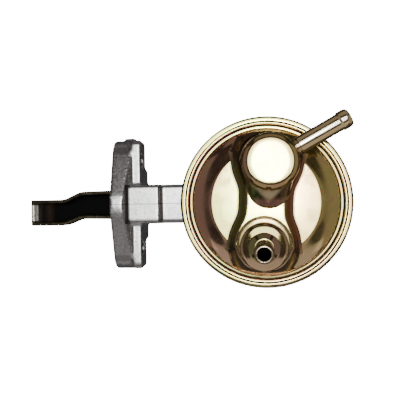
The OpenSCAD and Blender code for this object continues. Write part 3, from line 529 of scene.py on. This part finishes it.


# Colours of the zinc: pale, green and pink flats; then left, right and front slopes, which are painted
# reflection and shade, and streaks; walls and the waist's sides take painted shade
GOLD_FLATS = ((0.68, 0.58, 0.20), (0.57, 0.62, 0.19), (0.77, 0.51, 0.25))
GOLD_SLOPE_SHADE_AND_STREAKS = ((0.46, 0.25, 0.17), (0.50, 0.37, 0.13), (0.66, 0.44, 0.28), (0.40, 0.34, 0.12),
               (0.46, 0.21, 0.15))
GOLD_WALL_SHADE = (0.36, 0.26, 0.12)
GOLD_WAIST_SHADE = ((0.17, 0.15, 0.075), (0.26, 0.12, 0.075))
TAIL_FLATS = ((0.82, 0.76, 0.62), (0.78, 0.76, 0.60), (0.82, 0.72, 0.62))
TAIL_SLOPE_SHADE_AND_STREAKS = ((0.62, 0.44, 0.24), (0.70, 0.50, 0.26), (0.74, 0.52, 0.30), (0.60, 0.44, 0.20),
               (0.66, 0.40, 0.24))
TAIL_WALL_SHADE = (0.04, 0.028, 0.014)
MATERIALS = {
    "gold_zinc": passivated_zinc("gold_zinc", GOLD_FLATS, GOLD_SLOPE_SHADE_AND_STREAKS, GOLD_WALL_SHADE, 0.11,
                                 GOLD_WAIST_SHADE),
    "tail_zinc": passivated_zinc("tail_zinc", TAIL_FLATS, TAIL_SLOPE_SHADE_AND_STREAKS, TAIL_WALL_SHADE, 0.12),
    "cast_aluminium": cast_aluminium(),
    "arm_steel": oiled_arm_steel(),
    "lever_steel": plain_metal("lever_steel", (0.16, 0.15, 0.14), (0.34, 0.33, 0.31), 0.38),
    "ground_steel": plain_metal("ground_steel", (0.46, 0.46, 0.47), (0.66, 0.66, 0.66), 0.2, 600),
    "plug_metal": plain_metal("plug_metal", (0.44, 0.44, 0.43), (0.62, 0.62, 0.61), 0.4, 500),
    "spring_steel": plain_metal("spring_steel", (0.34, 0.34, 0.36), (0.56, 0.56, 0.58), 0.3, 800),
    "zinc_steel": plain_metal("zinc_steel", (0.52, 0.50, 0.42), (0.68, 0.66, 0.56), 0.32),
    "brass": brass_with_bore_shade(),
    "rubber": moulded_rubber("rubber", (0.012, 0.012, 0.012), (0.035, 0.034, 0.033)),
    "diaphragm_cloth": moulded_rubber("diaphragm_cloth", (0.02, 0.017, 0.015),
                                      (0.055, 0.048, 0.040), 0.4),
}


# Mesh building, in millimetres, turned into metres at the end

SHARP_EDGE = math.radians(50)
FILLET_STEPS = 5


def add_piece(name, points, faces, slot, body=None, place=Matrix.Identity(4)):
    """A mesh piece from points in millimetres. On a body, it stands for the CAD node of its name."""
    mesh = bpy.data.meshes.new(name)
    moved = [tuple((place @ Vector(p)) * MM) for p in points]
    mesh.from_pydata(moved, [], faces)
    mesh.validate()
    piece = bpy.data.objects.new(name, mesh)
    bpy.context.collection.objects.link(piece)
    tidy = bmesh.new()
    tidy.from_mesh(mesh)
    bmesh.ops.remove_doubles(tidy, verts=tidy.verts, dist=1e-7)
    bmesh.ops.recalc_face_normals(tidy, faces=tidy.faces)
    tidy.to_mesh(mesh)
    tidy.free()
    dress(piece, slot)
    if body:
        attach(piece, body)
        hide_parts(name)
    return piece


def dress(piece, slot, edges=True):
    """Gives a piece its material and slot, and smooth shading that stops at sharp edges."""
    piece.data.materials.clear()
    piece.data.materials.append(MATERIALS[slot])
    piece.data.shade_smooth()
    if edges:
        piece.data.set_sharp_from_angle(angle=SHARP_EDGE)


def mark_points(piece, name, values):
    """Keeps one number for each of a piece's points, for its material to read."""
    piece.data.attributes.new(name, "FLOAT", "POINT").data.foreach_set("value", values)


def rounded(outline):
    """An outline of (r, z) or (r, z, fillet) points with its corners rounded by their fillets."""
    points = []
    count = len(outline)
    for i, item in enumerate(outline):
        here = np.array(item[:2], float)
        fillet = item[2] if len(item) > 2 else 0.0
        before = np.array(outline[i - 1][:2], float) - here
        after = np.array(outline[(i + 1) % count][:2], float) - here
        a, b = np.linalg.norm(before), np.linalg.norm(after)
        turn = math.acos(max(-1.0, min(1.0, float(before @ after) / (a * b))))
        if fillet <= 0 or turn > math.pi - 0.02:
            points.append(tuple(here))
            continue
        reach = min(fillet / math.tan(turn / 2), 0.49 * a, 0.49 * b)
        start, stop = here + before / a * reach, here + after / b * reach
        for k in range(FILLET_STEPS + 1):
            t = k / FILLET_STEPS
            point = (1 - t) ** 2 * start + 2 * t * (1 - t) * here + t ** 2 * stop
            points.append(tuple(point))
    return points


def turned(outline, place, segments=128):
    """Points and faces of a closed outline of (r, z) points turned about Z, then placed."""
    profile = rounded(outline)
    n = len(profile)
    points, faces = [], []
    for k in range(segments):
        angle = 2 * math.pi * k / segments
        points += [tuple(place @ Vector((r * math.cos(angle), r * math.sin(angle), z)))
                   for r, z in profile]
    for k in range(segments):
        ahead = (k + 1) % segments
        for i in range(n):
            j = (i + 1) % n
            faces.append((k * n + i, ahead * n + i, ahead * n + j, k * n + j))
    return points, faces


def lathe(name, outline, slot, body, place, segments):
    """A piece turned from one closed outline. On a body, it stands for the CAD node of its name."""
    points, faces = turned(outline, place, segments)
    return add_piece(name, points, faces, slot, body)


COIL_STEPS = 40
WIRE_SIDES = 10
DEAD_TURNS = 0.75
DEAD_RISE = 0.06


def coil(name, radius, wire, bottom, top, turns, place):
    """A round-wire spring between two heights, with its end turns nearly flat."""
    steps = int(turns * COIL_STEPS)
    sides = WIRE_SIDES
    points, faces = [], []
    rise = top - bottom - wire
    for i in range(steps + 1):
        t = turns * i / steps
        u = min(1.0, max(0.0, (t - DEAD_TURNS) / (turns - 2 * DEAD_TURNS)))
        z = bottom + wire / 2 + rise * (u * (1 - DEAD_RISE) + DEAD_RISE * t / turns)
        angle = 2 * math.pi * t
        for j in range(sides):
            b = 2 * math.pi * j / sides
            r = radius - wire / 2 + wire / 2 * math.cos(b)
            points.append((r * math.cos(angle), r * math.sin(angle), z + wire / 2 * math.sin(b)))
    for i in range(steps):
        for j in range(sides):
            k = (j + 1) % sides
            faces.append((i * sides + j, i * sides + k, (i + 1) * sides + k, (i + 1) * sides + j))
    faces.append(tuple(range(sides - 1, -1, -1)))
    faces.append(tuple(steps * sides + j for j in range(sides)))
    return add_piece(name, points, faces, "spring_steel", "housing", place)


def settled(piece):
    """Applies the modifiers of a piece to its mesh."""
    bpy.context.view_layer.update()
    graph = bpy.context.evaluated_depsgraph_get()
    mesh = bpy.data.meshes.new_from_object(piece.evaluated_get(graph))
    piece.modifiers.clear()
    piece.data = mesh


def cast_skin(node, slot, body, voxel_mm, passes, keep):
    """A CAD node's own mesh with its edges softened, as casting or pressing leaves them."""
    piece = bpy.data.objects.new(node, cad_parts[node].data.copy())
    bpy.context.collection.objects.link(piece)
    remesh = piece.modifiers.new("remesh", "REMESH")
    remesh.mode = "VOXEL"
    remesh.voxel_size = voxel_mm * MM
    remesh.use_smooth_shade = True
    soften = piece.modifiers.new("soften", "SMOOTH")
    soften.factor = 0.5
    soften.iterations = passes
    thin = piece.modifiers.new("thin", "DECIMATE")
    thin.ratio = keep
    settled(piece)
    dress(piece, slot, edges=False)
    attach(piece, body)
    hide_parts(node)


def smooth_min(a, b, k):
    """The lower of two heights, rounded over a width of k where they cross."""
    h = np.clip(0.5 + 0.5 * (b - a) / k, 0, 1)
    return b + (a - b) * h - k * h * (1 - h)


def smooth_max(a, b, k):
    """The higher of two heights, rounded over a width of k where they cross."""
    return -smooth_min(-a, -b, k)


# The cover: one drawn sheet, worked out as heights over a polar grid

# Widths over which the cover's forms run into each other
WAIST_BLEND = 3.0
TOP_BLEND = 0.9
END_BLEND = 1.2
SIDE_BLEND = 1.6
RIDGE_END_R = KNEE_R - 4.5
RIDGE_DROP_R = KNEE_R - 0.3
KNEE_TOP_H = KNEE_H * 1.25
KNEE_SLOPE = 6
FOOT_EDGE_R = FOOT_R + 0.15

GROOVE_DEPTH = 0.38
GROOVE_HALF = 0.33
LIP_RISE = 0.10
LIP_HALF = 0.35

# Radii where the grid's pitch changes, with the rings up to each: finest at the knee and the bead
GRID = ((24, 42), (32.6, 28), (34.3, 16), (SHELL_R, 22))
GRID_AROUND = 300


def shoulder(r, flat_r, knee_r, low, high, bend=1.0):
    """Height of a shoulder that is flat within flat_r and vertical at knee_r."""
    u = np.clip((r - flat_r) / (knee_r - flat_r), 0, 1)
    return low + (high - low) * np.sqrt(1 - u ** (2 / bend))


def plateau_distance(x, y):
    """Distance outside the outline of the ridge's flat top, negative inside it."""
    c, s = math.cos(RIDGE_TURN), math.sin(RIDGE_TURN)
    u, v = x * c - y * s, x * s + y * c
    lobes = np.minimum(np.hypot(u, v - LOBE_R), np.hypot(u, v + LOBE_R)) - LOBE_TOP_R
    side = WAIST_SIDE_R + (WAIST_FOOT - WAIST_TOP)
    centre = WAIST_SIDE_R + WAIST_FOOT
    waist = np.maximum(side - np.hypot(u - centre, v), side - np.hypot(u + centre, v))
    waist = np.maximum(waist, np.abs(v) - LOBE_R)
    return smooth_min(lobes, waist, WAIST_BLEND)


def ridge_height(r, x, y):
    """Height of the ridge, with sloping sides and an end that turns down before the knee.

    Where both heights are the same, smooth_min takes off a quarter of its width, so that is put back.
    """
    ridge = RIDGE_H - np.maximum(0, plateau_distance(x, y)) * LOBE_SLOPE
    flat = ridge > RIDGE_H - 0.01
    ridge = smooth_min(ridge, np.full_like(r, RIDGE_H), TOP_BLEND) + TOP_BLEND / 4 * flat
    envelope = shoulder(r, RIDGE_END_R, RIDGE_DROP_R, KNEE_H, RIDGE_H)
    return smooth_min(np.minimum(ridge, RIDGE_H), envelope, END_BLEND)


def cover_height(x, y):
    """Height of the cover's outer face over its flange."""
    r = np.hypot(x, y)
    dome = shoulder(r, FLAT_R, KNEE_R, KNEE_H, LENS_H, SHOULDER_BEND)
    body = np.minimum(smooth_max(dome, ridge_height(r, x, y), SIDE_BLEND), RIDGE_H)
    wall = KNEE_TOP_H + KNEE_SLOPE * np.maximum(0, KNEE_R - r)
    body = np.where(r > KNEE_R - 0.6, np.minimum(body, wall), body)
    foot = np.clip((FOOT_EDGE_R - r) / (FOOT_EDGE_R - KNEE_R), 0, 1)
    foot = foot * foot * (3 - 2 * foot)
    groove = -GROOVE_DEPTH * np.exp(-((r - BEAD_GROOVE_R) / GROOVE_HALF) ** 2)
    lip = LIP_RISE * np.exp(-((r - BEAD_GROOVE_R - 1.0) / LIP_HALF) ** 2)
    return body * foot + (groove + lip) * (1 - foot)


def cover_sheet():
    """Points of the cover's outer face, and of the same face drawn in by the sheet."""
    radii, start = [], 0
    for stop, rings in GRID:
        radii.append(np.linspace(start, stop, rings)[1:])
        start = stop
    radii = np.concatenate(radii)
    angles = np.linspace(0, 2 * math.pi, GRID_AROUND, endpoint=False)
    rr, aa = np.meshgrid(radii, angles, indexing="ij")
    x, y = (rr * np.cos(aa)).ravel(), (rr * np.sin(aa)).ravel()
    x, y = np.append(x, 0.0), np.append(y, 0.0)
    z = cover_height(x, y)
    h = 0.02
    dx = (cover_height(x + h, y) - cover_height(x - h, y)) / (2 * h)
    dy = (cover_height(x, y + h) - cover_height(x, y - h)) / (2 * h)
    length = np.sqrt(dx * dx + dy * dy + 1)
    outer = np.stack([x, y, z], 1)
    inner = outer - SHEET * np.stack([-dx / length, -dy / length, 1 / length], 1)
    return outer, inner, len(radii)


def make_cover():
    """The cover as a closed shell: two faces, each with one point in its middle, and an edge."""
    outer, inner, rows = cover_sheet()
    around = GRID_AROUND
    count = len(outer)
    pole = count - 1
    faces = []
    for base, flip in ((0, False), (count, True)):
        for k in range(around):
            n = (k + 1) % around
            ring = [(base + pole, base + k, base + n)]
            for i in range(rows - 1):
                ring.append((base + i * around + k, base + (i + 1) * around + k,
                             base + (i + 1) * around + n, base + i * around + n))
            faces += [f[::-1] for f in ring] if flip else ring
    last = (rows - 1) * around
    for k in range(around):
        n = (k + 1) % around
        faces.append((last + k, count + last + k, count + last + n, last + n))
    points = np.concatenate([outer, inner]).tolist()
    mark_ridge(add_piece("cover", points, faces, "gold_zinc", "housing", AT_RIM))


def mark_ridge(cover):
    """Marks the ridge's side walls, which take a painted shade of their own."""
    spots = np.array([vertex.co for vertex in cover.data.vertices]) / MM
    away = plateau_distance(spots[:, 0] - DRUM_X, spots[:, 1])
    wall = np.clip((away + 0.2) / 0.5, 0, 1) * np.clip((4.6 - away) / 1.0, 0, 1)
    mark_points(cover, "ridge", wall)


def make_ring():
    """The crimp ring, rolled over the cover's edge and under the casting's rim."""
    edge = DRUM_R - RING_EDGE_IN
    foot = DRUM_R - RING_FOOT_IN
    wall = DRUM_R - RING_T
    outline = [(edge, 0, 0.1), (edge, RING_T, 0.35), (DRUM_R, RING_T, 1.5),
               (DRUM_R, RING_FOOT_Z, 1.5), (foot, RING_FOOT_Z, 0.3), (foot, RING_LIP_Z, 0.1),
               (wall, RING_LIP_Z, 0.6), (wall, 0, 0.6)]
    lathe("crimp_ring", outline, "gold_zinc", "housing", AT_RIM, 256)


make_cover()
make_ring()


# The outlet can with its slanted skirt, and the two hose tails

CAN_AROUND = 160
SKIRT_STEPS = 25
WALL_RINGS = 30
EDGE_RINGS = 9
TOP_SHARES = (0.82, 0.6, 0.35, 0.12)
FLARE_RIGHT = 0.3
FLARE_MORE_LEFT = 0.75
FLARE_FADE = 0.9


def can_section(angle, height, inset):
    """Radius of the can and its skirt about the can's axis, at an angle and a height over the rim."""
    up = np.clip((height - RIDGE_H) / SKIRT_H, 0, 1)
    shift = SKIRT_REACH * (1 - up)
    skirt = SKIRT_FOOT_R * (1 - up) + SKIRT_TOP_R * up - inset
    reach = np.full_like(angle, CAN_R - inset)
    for share in np.linspace(0, 1, SKIRT_STEPS):
        cx, cy = -SKIRT_DRIFT * (1 - up) * share, -shift * share
        r = (SKIRT_BACK_R - inset) * (1 - share) + skirt * share
        along = cx * np.cos(angle) + cy * np.sin(angle)
        inside = r * r - (cx * cx + cy * cy - along * along)
        reach = np.where(inside > 0, np.maximum(reach, along + np.sqrt(np.maximum(inside, 0))), reach)
    return reach


def can_rings(angles, inset):
    """Heights and radii of the can's outer or inner face, from its foot to its flat top."""
    rings = []
    high = CAN_TOP - RIM_Z - inset
    bend = CAN_EDGE - inset
    for t in np.linspace(0, 1, WALL_RINGS):
        z = RIDGE_H + (high - bend - RIDGE_H) * t
        flare = 0.0
        if inset == 0:
            side = FLARE_RIGHT + FLARE_MORE_LEFT * (0.5 - 0.5 * np.cos(angles))
            flare = side * math.exp(-(z - RIDGE_H) / FLARE_FADE)
        rings.append((z, can_section(angles, z, inset) + flare))
    wall = can_section(angles, high - bend, inset)
    for t in np.linspace(0, 1, EDGE_RINGS)[1:]:
        a = t * math.pi / 2
        rings.append((high - bend + bend * math.sin(a), wall - bend + bend * math.cos(a)))
    for share in TOP_SHARES:
        rings.append((high, (wall - bend) * share))
    return rings


def make_can():
    """The can as a closed shell, open at its foot, with a flared foot and a rounded top edge."""
    around = CAN_AROUND
    angles = np.linspace(0, 2 * math.pi, around, endpoint=False)
    points = []
    for inset in (0.0, SHEET):
        rings = can_rings(angles, inset)
        for z, radius in rings:
            points += [(r * math.cos(a), r * math.sin(a), z) for r, a in zip(radius, angles)]
    rows = len(rings)
    faces = []
    for base in (0, rows * around):
        for k in range(around):
            n = (k + 1) % around
            for i in range(rows - 1):
                faces.append((base + i * around + k, base + i * around + n,
                              base + (i + 1) * around + n, base + (i + 1) * around + k))
        faces.append(tuple(base + (rows - 1) * around + k for k in range(around)))
    for k in range(around):
        n = (k + 1) % around
        faces.append((k, n, rows * around + n, rows * around + k))
    add_piece("outlet_turret", points, faces, "gold_zinc", "housing", AT_CAN)


def mark_bore(tail, place):
    """Marks the wall of a tail's bore, which its material paints black as shade."""
    back = place.inverted()
    inside = []
    for vertex in tail.data.vertices:
        x, y, _ = back @ (vertex.co / MM)
        inside.append(float(math.hypot(x, y) < TAIL_BORE_R + 0.1))
    mark_points(tail, "inside", inside)


NOSE_IN = 1.2
NOSE_TURN = 75
NOSE_STEPS = 8


def hose_tail(name, start, end, ring_z, ring_r, place):
    """A hose tail along Z: a necked root with a small ring, a plain tube and a rounded head."""
    tube = ring_z + 1.1
    land = end - HEAD_LEN + 0.9
    nose = land + HEAD_LAND
    outline = [(TAIL_BORE_R, start), (TAIL_NECK_R, start), (TAIL_NECK_R, ring_z - 0.55, 0.2),
               (ring_r, ring_z - 0.25, 0.2), (ring_r, ring_z + 0.25, 0.2),
               (TAIL_NECK_R, ring_z + 0.55, 0.2), (TAIL_NECK_R, tube - 0.3, 0.2), (TAIL_R, tube, 0.3),
               (TAIL_R, end - HEAD_LEN, 0.4), (HEAD_R, land, 0.6)]
    for i in range(1, NOSE_STEPS + 1):
        a = math.radians(NOSE_TURN * i / NOSE_STEPS)
        outline.append((HEAD_R - NOSE_IN * (1 - math.cos(a)),
                        nose + (end - nose) * math.sin(a) / math.sin(math.radians(NOSE_TURN))))
    outline += [(TAIL_BORE_R + 0.25, end, 0.2), (TAIL_BORE_R, end - 0.3, 0.2)]
    mark_bore(lathe(name, outline, "tail_zinc", "housing", place, 96), place)


make_can()
hose_tail("outlet_pipe", CAN_R - 2.2, OUTLET_REACH, CAN_R + 0.8, TAIL_R - 0.1, AT_OUTLET)
hose_tail("inlet_pipe", CUP_H + COLLAR_H - 3, INLET_LEN, CUP_H + COLLAR_H + 0.8, TAIL_R + 0.4,
          AT_INLET)


def make_inlet_cup():
    """The leaning cup and its level, grooved foot ring: one pressed piece."""
    neck = TAIL_NECK_R + 0.02
    top = CUP_H + COLLAR_H
    cup = [(CUP_R - SHEET, 0.9), (CUP_R - 0.1, 0.9), (CUP_R, CUP_H - 0.5, 2.2),
           (COLLAR_R + 0.6, CUP_H + 0.35, 2.0), (COLLAR_R - 1.6, top, 1.0), (neck, top),
           (neck, top - SHEET), (COLLAR_R - 1.8, top - SHEET), (COLLAR_R + 1.2, CUP_H - SHEET + 0.5),
           (CUP_R - SHEET, CUP_H - SHEET, 1.0)]
    r = FOOT_RING_R
    ring = [(r - 3.8, 0), (r, 0, 0.1), (r, 0.6, 0.2), (r - 0.35, 0.75, 0.1), (r - 0.2, 1.2, 0.15),
            (r - 0.5, 1.45, 0.1), (r - 0.65, 1.15, 0.1), (r - 0.8, 1.6, 0.15), (r - 1.05, 1.75, 0.1),
            (r - 1.2, 1.4, 0.1), (r - 1.35, 1.8, 0.1), (r - 3.8, 1.8)]
    points, faces = turned(cup, AT_INLET)
    more_points, more_faces = turned(ring, AT_INLET_FOOT)
    faces += [tuple(i + len(points) for i in face) for face in more_faces]
    add_piece("inlet_cup", points + more_points, faces, "gold_zinc", "housing")


make_inlet_cup()

# The casting and the pressed arm keep the CAD form, with softened edges
cast_skin("lower_body", "cast_aluminium", "housing", 0.6, 4, 0.4)
cast_skin("rocker_arm", "arm_steel", "rocker", 0.38, 4, 0.5)


# Inner pieces that change shape with the motion, each built here in one shape

RETURN_X = 13.1


def spring(node, turns, radius, wire, centre):
    """A spring between its CAD node's two heights."""
    low, high = box_mm(node)
    place = Matrix.Translation((*centre, 0))
    piece = coil(node, radius, wire, low[2], high[2], turns, place)
    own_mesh(piece)


spring("diaphragm_spring", 3.5, 13.5, 2.0, DRUM_XY)
spring("return_spring", 6, 3.1, 1.0, (RETURN_X, 0))
spring("inlet_valve_spring", 3, 3.0, 0.4, INLET_XY)
spring("outlet_valve_spring", 3, 3.0, 0.4, OUTLET_XY)


CLOTH_T = 1.0
FOLD_IN = 21.4
FOLD_OUT = 32.9
FOLD_DEPTH = 2.0
FOLD_STEPS = 24
PLATE_BORE_R = 2.3
FLAT_MIDDLE_R = 12


def make_diaphragm():
    """The diaphragm in one shape: its edge in the rim, a flat middle and a rolled fold between."""
    rim = RIM_Z - SHEET - CLOTH_T
    middle = box_mm("diaphragm")[1][2] - CLOTH_T
    fold = []
    for i in range(FOLD_STEPS + 1):
        u = i / FOLD_STEPS
        fold.append((FOLD_IN + (FOLD_OUT - FOLD_IN) * u,
                     middle + (rim - middle) * u - FOLD_DEPTH * (1 - math.cos(2 * math.pi * u)) / 2))
    under = [(PLATE_BORE_R, middle), (FLAT_MIDDLE_R, middle)] + fold + [(SHELL_R, rim)]
    over = [(r, z + CLOTH_T) for r, z in reversed(under)]
    piece = lathe("diaphragm", under + over, "diaphragm_cloth", None, AT_DRUM, 96)
    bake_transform(piece)
    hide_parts("diaphragm")


make_diaphragm()

# Inner pieces that keep their CAD mesh take a finished material
CARRIED_OVER = {
    "lever_steel": ["link_lever", "pivot_washers"],
    "ground_steel": ["pivot_pin", "pull_rod"],
    "plug_metal": ["pivot_plugs"],
    "zinc_steel": ["seal_retainer", "lower_plate", "upper_plate"],
    "rubber": ["rod_seal", "inlet_valve_disc", "outlet_valve_disc"],
    "brass": ["inlet_valve_seat", "inlet_valve_cage", "outlet_valve_seat", "outlet_valve_cage"],
}
for slot_name, nodes in CARRIED_OVER.items():
    for node_name in nodes:
        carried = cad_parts[node_name]
        carried.data.materials.clear()
        carried.data.materials.append(MATERIALS[slot_name])


# Stage, in metres: a pale floor well below the part, soft lights, two dark cards and the camera

FLOOR_SIZE = 6
FLOOR_PLACE = (0.03, 0, -0.12)
FLOOR_GLOW = 18.0     # the floor is lit through from below, like a light table
WORLD_GLOW = 0.06
MIDDLE = (0.07, 0, 0.02)

# Name, place, aim, width, depth and watts of each light
LIGHTS = (
    ("overhead", (0.09, 0.174, 1.0), (0.09, 0.174, 0.0), 0.76, 0.65, 6.4),
    ("core", (0.080, 0.07, 0.99), (0.080, 0.07, 0.0), 0.12, 0.20, 2.4),
    ("right", (1.0, 0.0, 0.40), MIDDLE, 1.6, 1.1, 1.9),
    ("front", (0.07, -0.9, 0.50), MIDDLE, 1.9, 1.2, 3.6),
    ("left", (-0.9, 0.0, 0.40), MIDDLE, 1.6, 1.1, 1.4),
    ("back", (0.07, 1.0, 0.35), MIDDLE, 1.3, 0.9, 0.9),
)

# Name of each card, with its lowest and highest X and its lowest and highest Y
CARD_HEIGHT = 0.97
CARDS = (("card_right", 0.185, 0.232, 0.092, 0.150), ("card_front", 0.014, 0.108, -0.215, -0.144))

LENS = 54.6
SENSOR = 36
CAMERA_H = 280     # millimetres over the rim
ROLL = math.radians(-1.0)
PAN = math.radians(6.2)
TILT = math.radians(0.2)


def make_floor():
    """A glowing floor that only the camera sees, so it puts no light on the part."""
    bpy.ops.mesh.primitive_plane_add(size=FLOOR_SIZE, location=FLOOR_PLACE)
    floor = bpy.context.object
    floor.name = "floor"
    n = Nodes("floor")
    tone = n.ramp(n.noise(3), (0.3, (0.96, 0.96, 0.96)), (0.7, (0.98, 0.98, 0.98)))
    n.finish(tone, 0.9, 0.0, Emission_Color=tone, Emission_Strength=FLOOR_GLOW)
    floor.data.materials.append(n.material)
    floor.visible_glossy = False
    floor.visible_diffuse = False


def area_light(name, place, aim, width, depth, watts):
    """A rectangular light that faces its aim."""
    data = bpy.data.lights.new(name, "AREA")
    data.shape = "RECTANGLE"
    data.size = width
    data.size_y = depth
    data.energy = watts
    light = bpy.data.objects.new(name, data)
    bpy.context.collection.objects.link(light)
    light.location = place
    light.rotation_euler = (Vector(aim) - Vector(place)).to_track_quat("-Z", "Y").to_euler()


def dark_card(name, left, right, low, high):
    """A dark card under the overhead light, which the rim mirrors as a dark stretch."""
    sheet = bpy.data.meshes.new(name)
    corners = [(x, y, CARD_HEIGHT) for x, y in ((left, low), (right, low), (right, high), (left, high))]
    sheet.from_pydata(corners, [], [(0, 1, 2, 3)])
    card = bpy.data.objects.new(name, sheet)
    bpy.context.collection.objects.link(card)
    n = Nodes(name)
    cloth = n.ramp(n.noise(20), (0.3, (0.05, 0.035, 0.015)), (0.7, (0.07, 0.05, 0.02)))
    sheet.materials.append(n.finish(cloth, 0.9, 0.0))


def make_world():
    """A faint white surrounding."""
    world = bpy.data.worlds.new("studio")
    bpy.context.scene.world = world
    world.use_nodes = True
    ground = world.node_tree.nodes["Background"]
    ground.inputs["Color"].default_value = (1, 1, 1, 1)
    ground.inputs["Strength"].default_value = WORLD_GLOW


def make_camera():
    """Above the drum, looking straight down and panned a little towards the arm."""
    data = bpy.data.cameras.new("camera")
    data.lens = LENS
    data.sensor_width = SENSOR
    camera = bpy.data.objects.new("camera", data)
    bpy.context.collection.objects.link(camera)
    camera.location = (DRUM_X * MM, 0, (RIM_Z + CAMERA_H) * MM)
    turn = Matrix.Rotation(PAN, 4, "Y") @ Matrix.Rotation(TILT, 4, "X")
    camera.rotation_euler = (Matrix.Rotation(ROLL, 4, "Z") @ turn).to_euler()
    bpy.context.scene.camera = camera


make_floor()
for light_row in LIGHTS:
    area_light(*light_row)
for card_row in CARDS:
    dark_card(*card_row)
make_world()
make_camera()
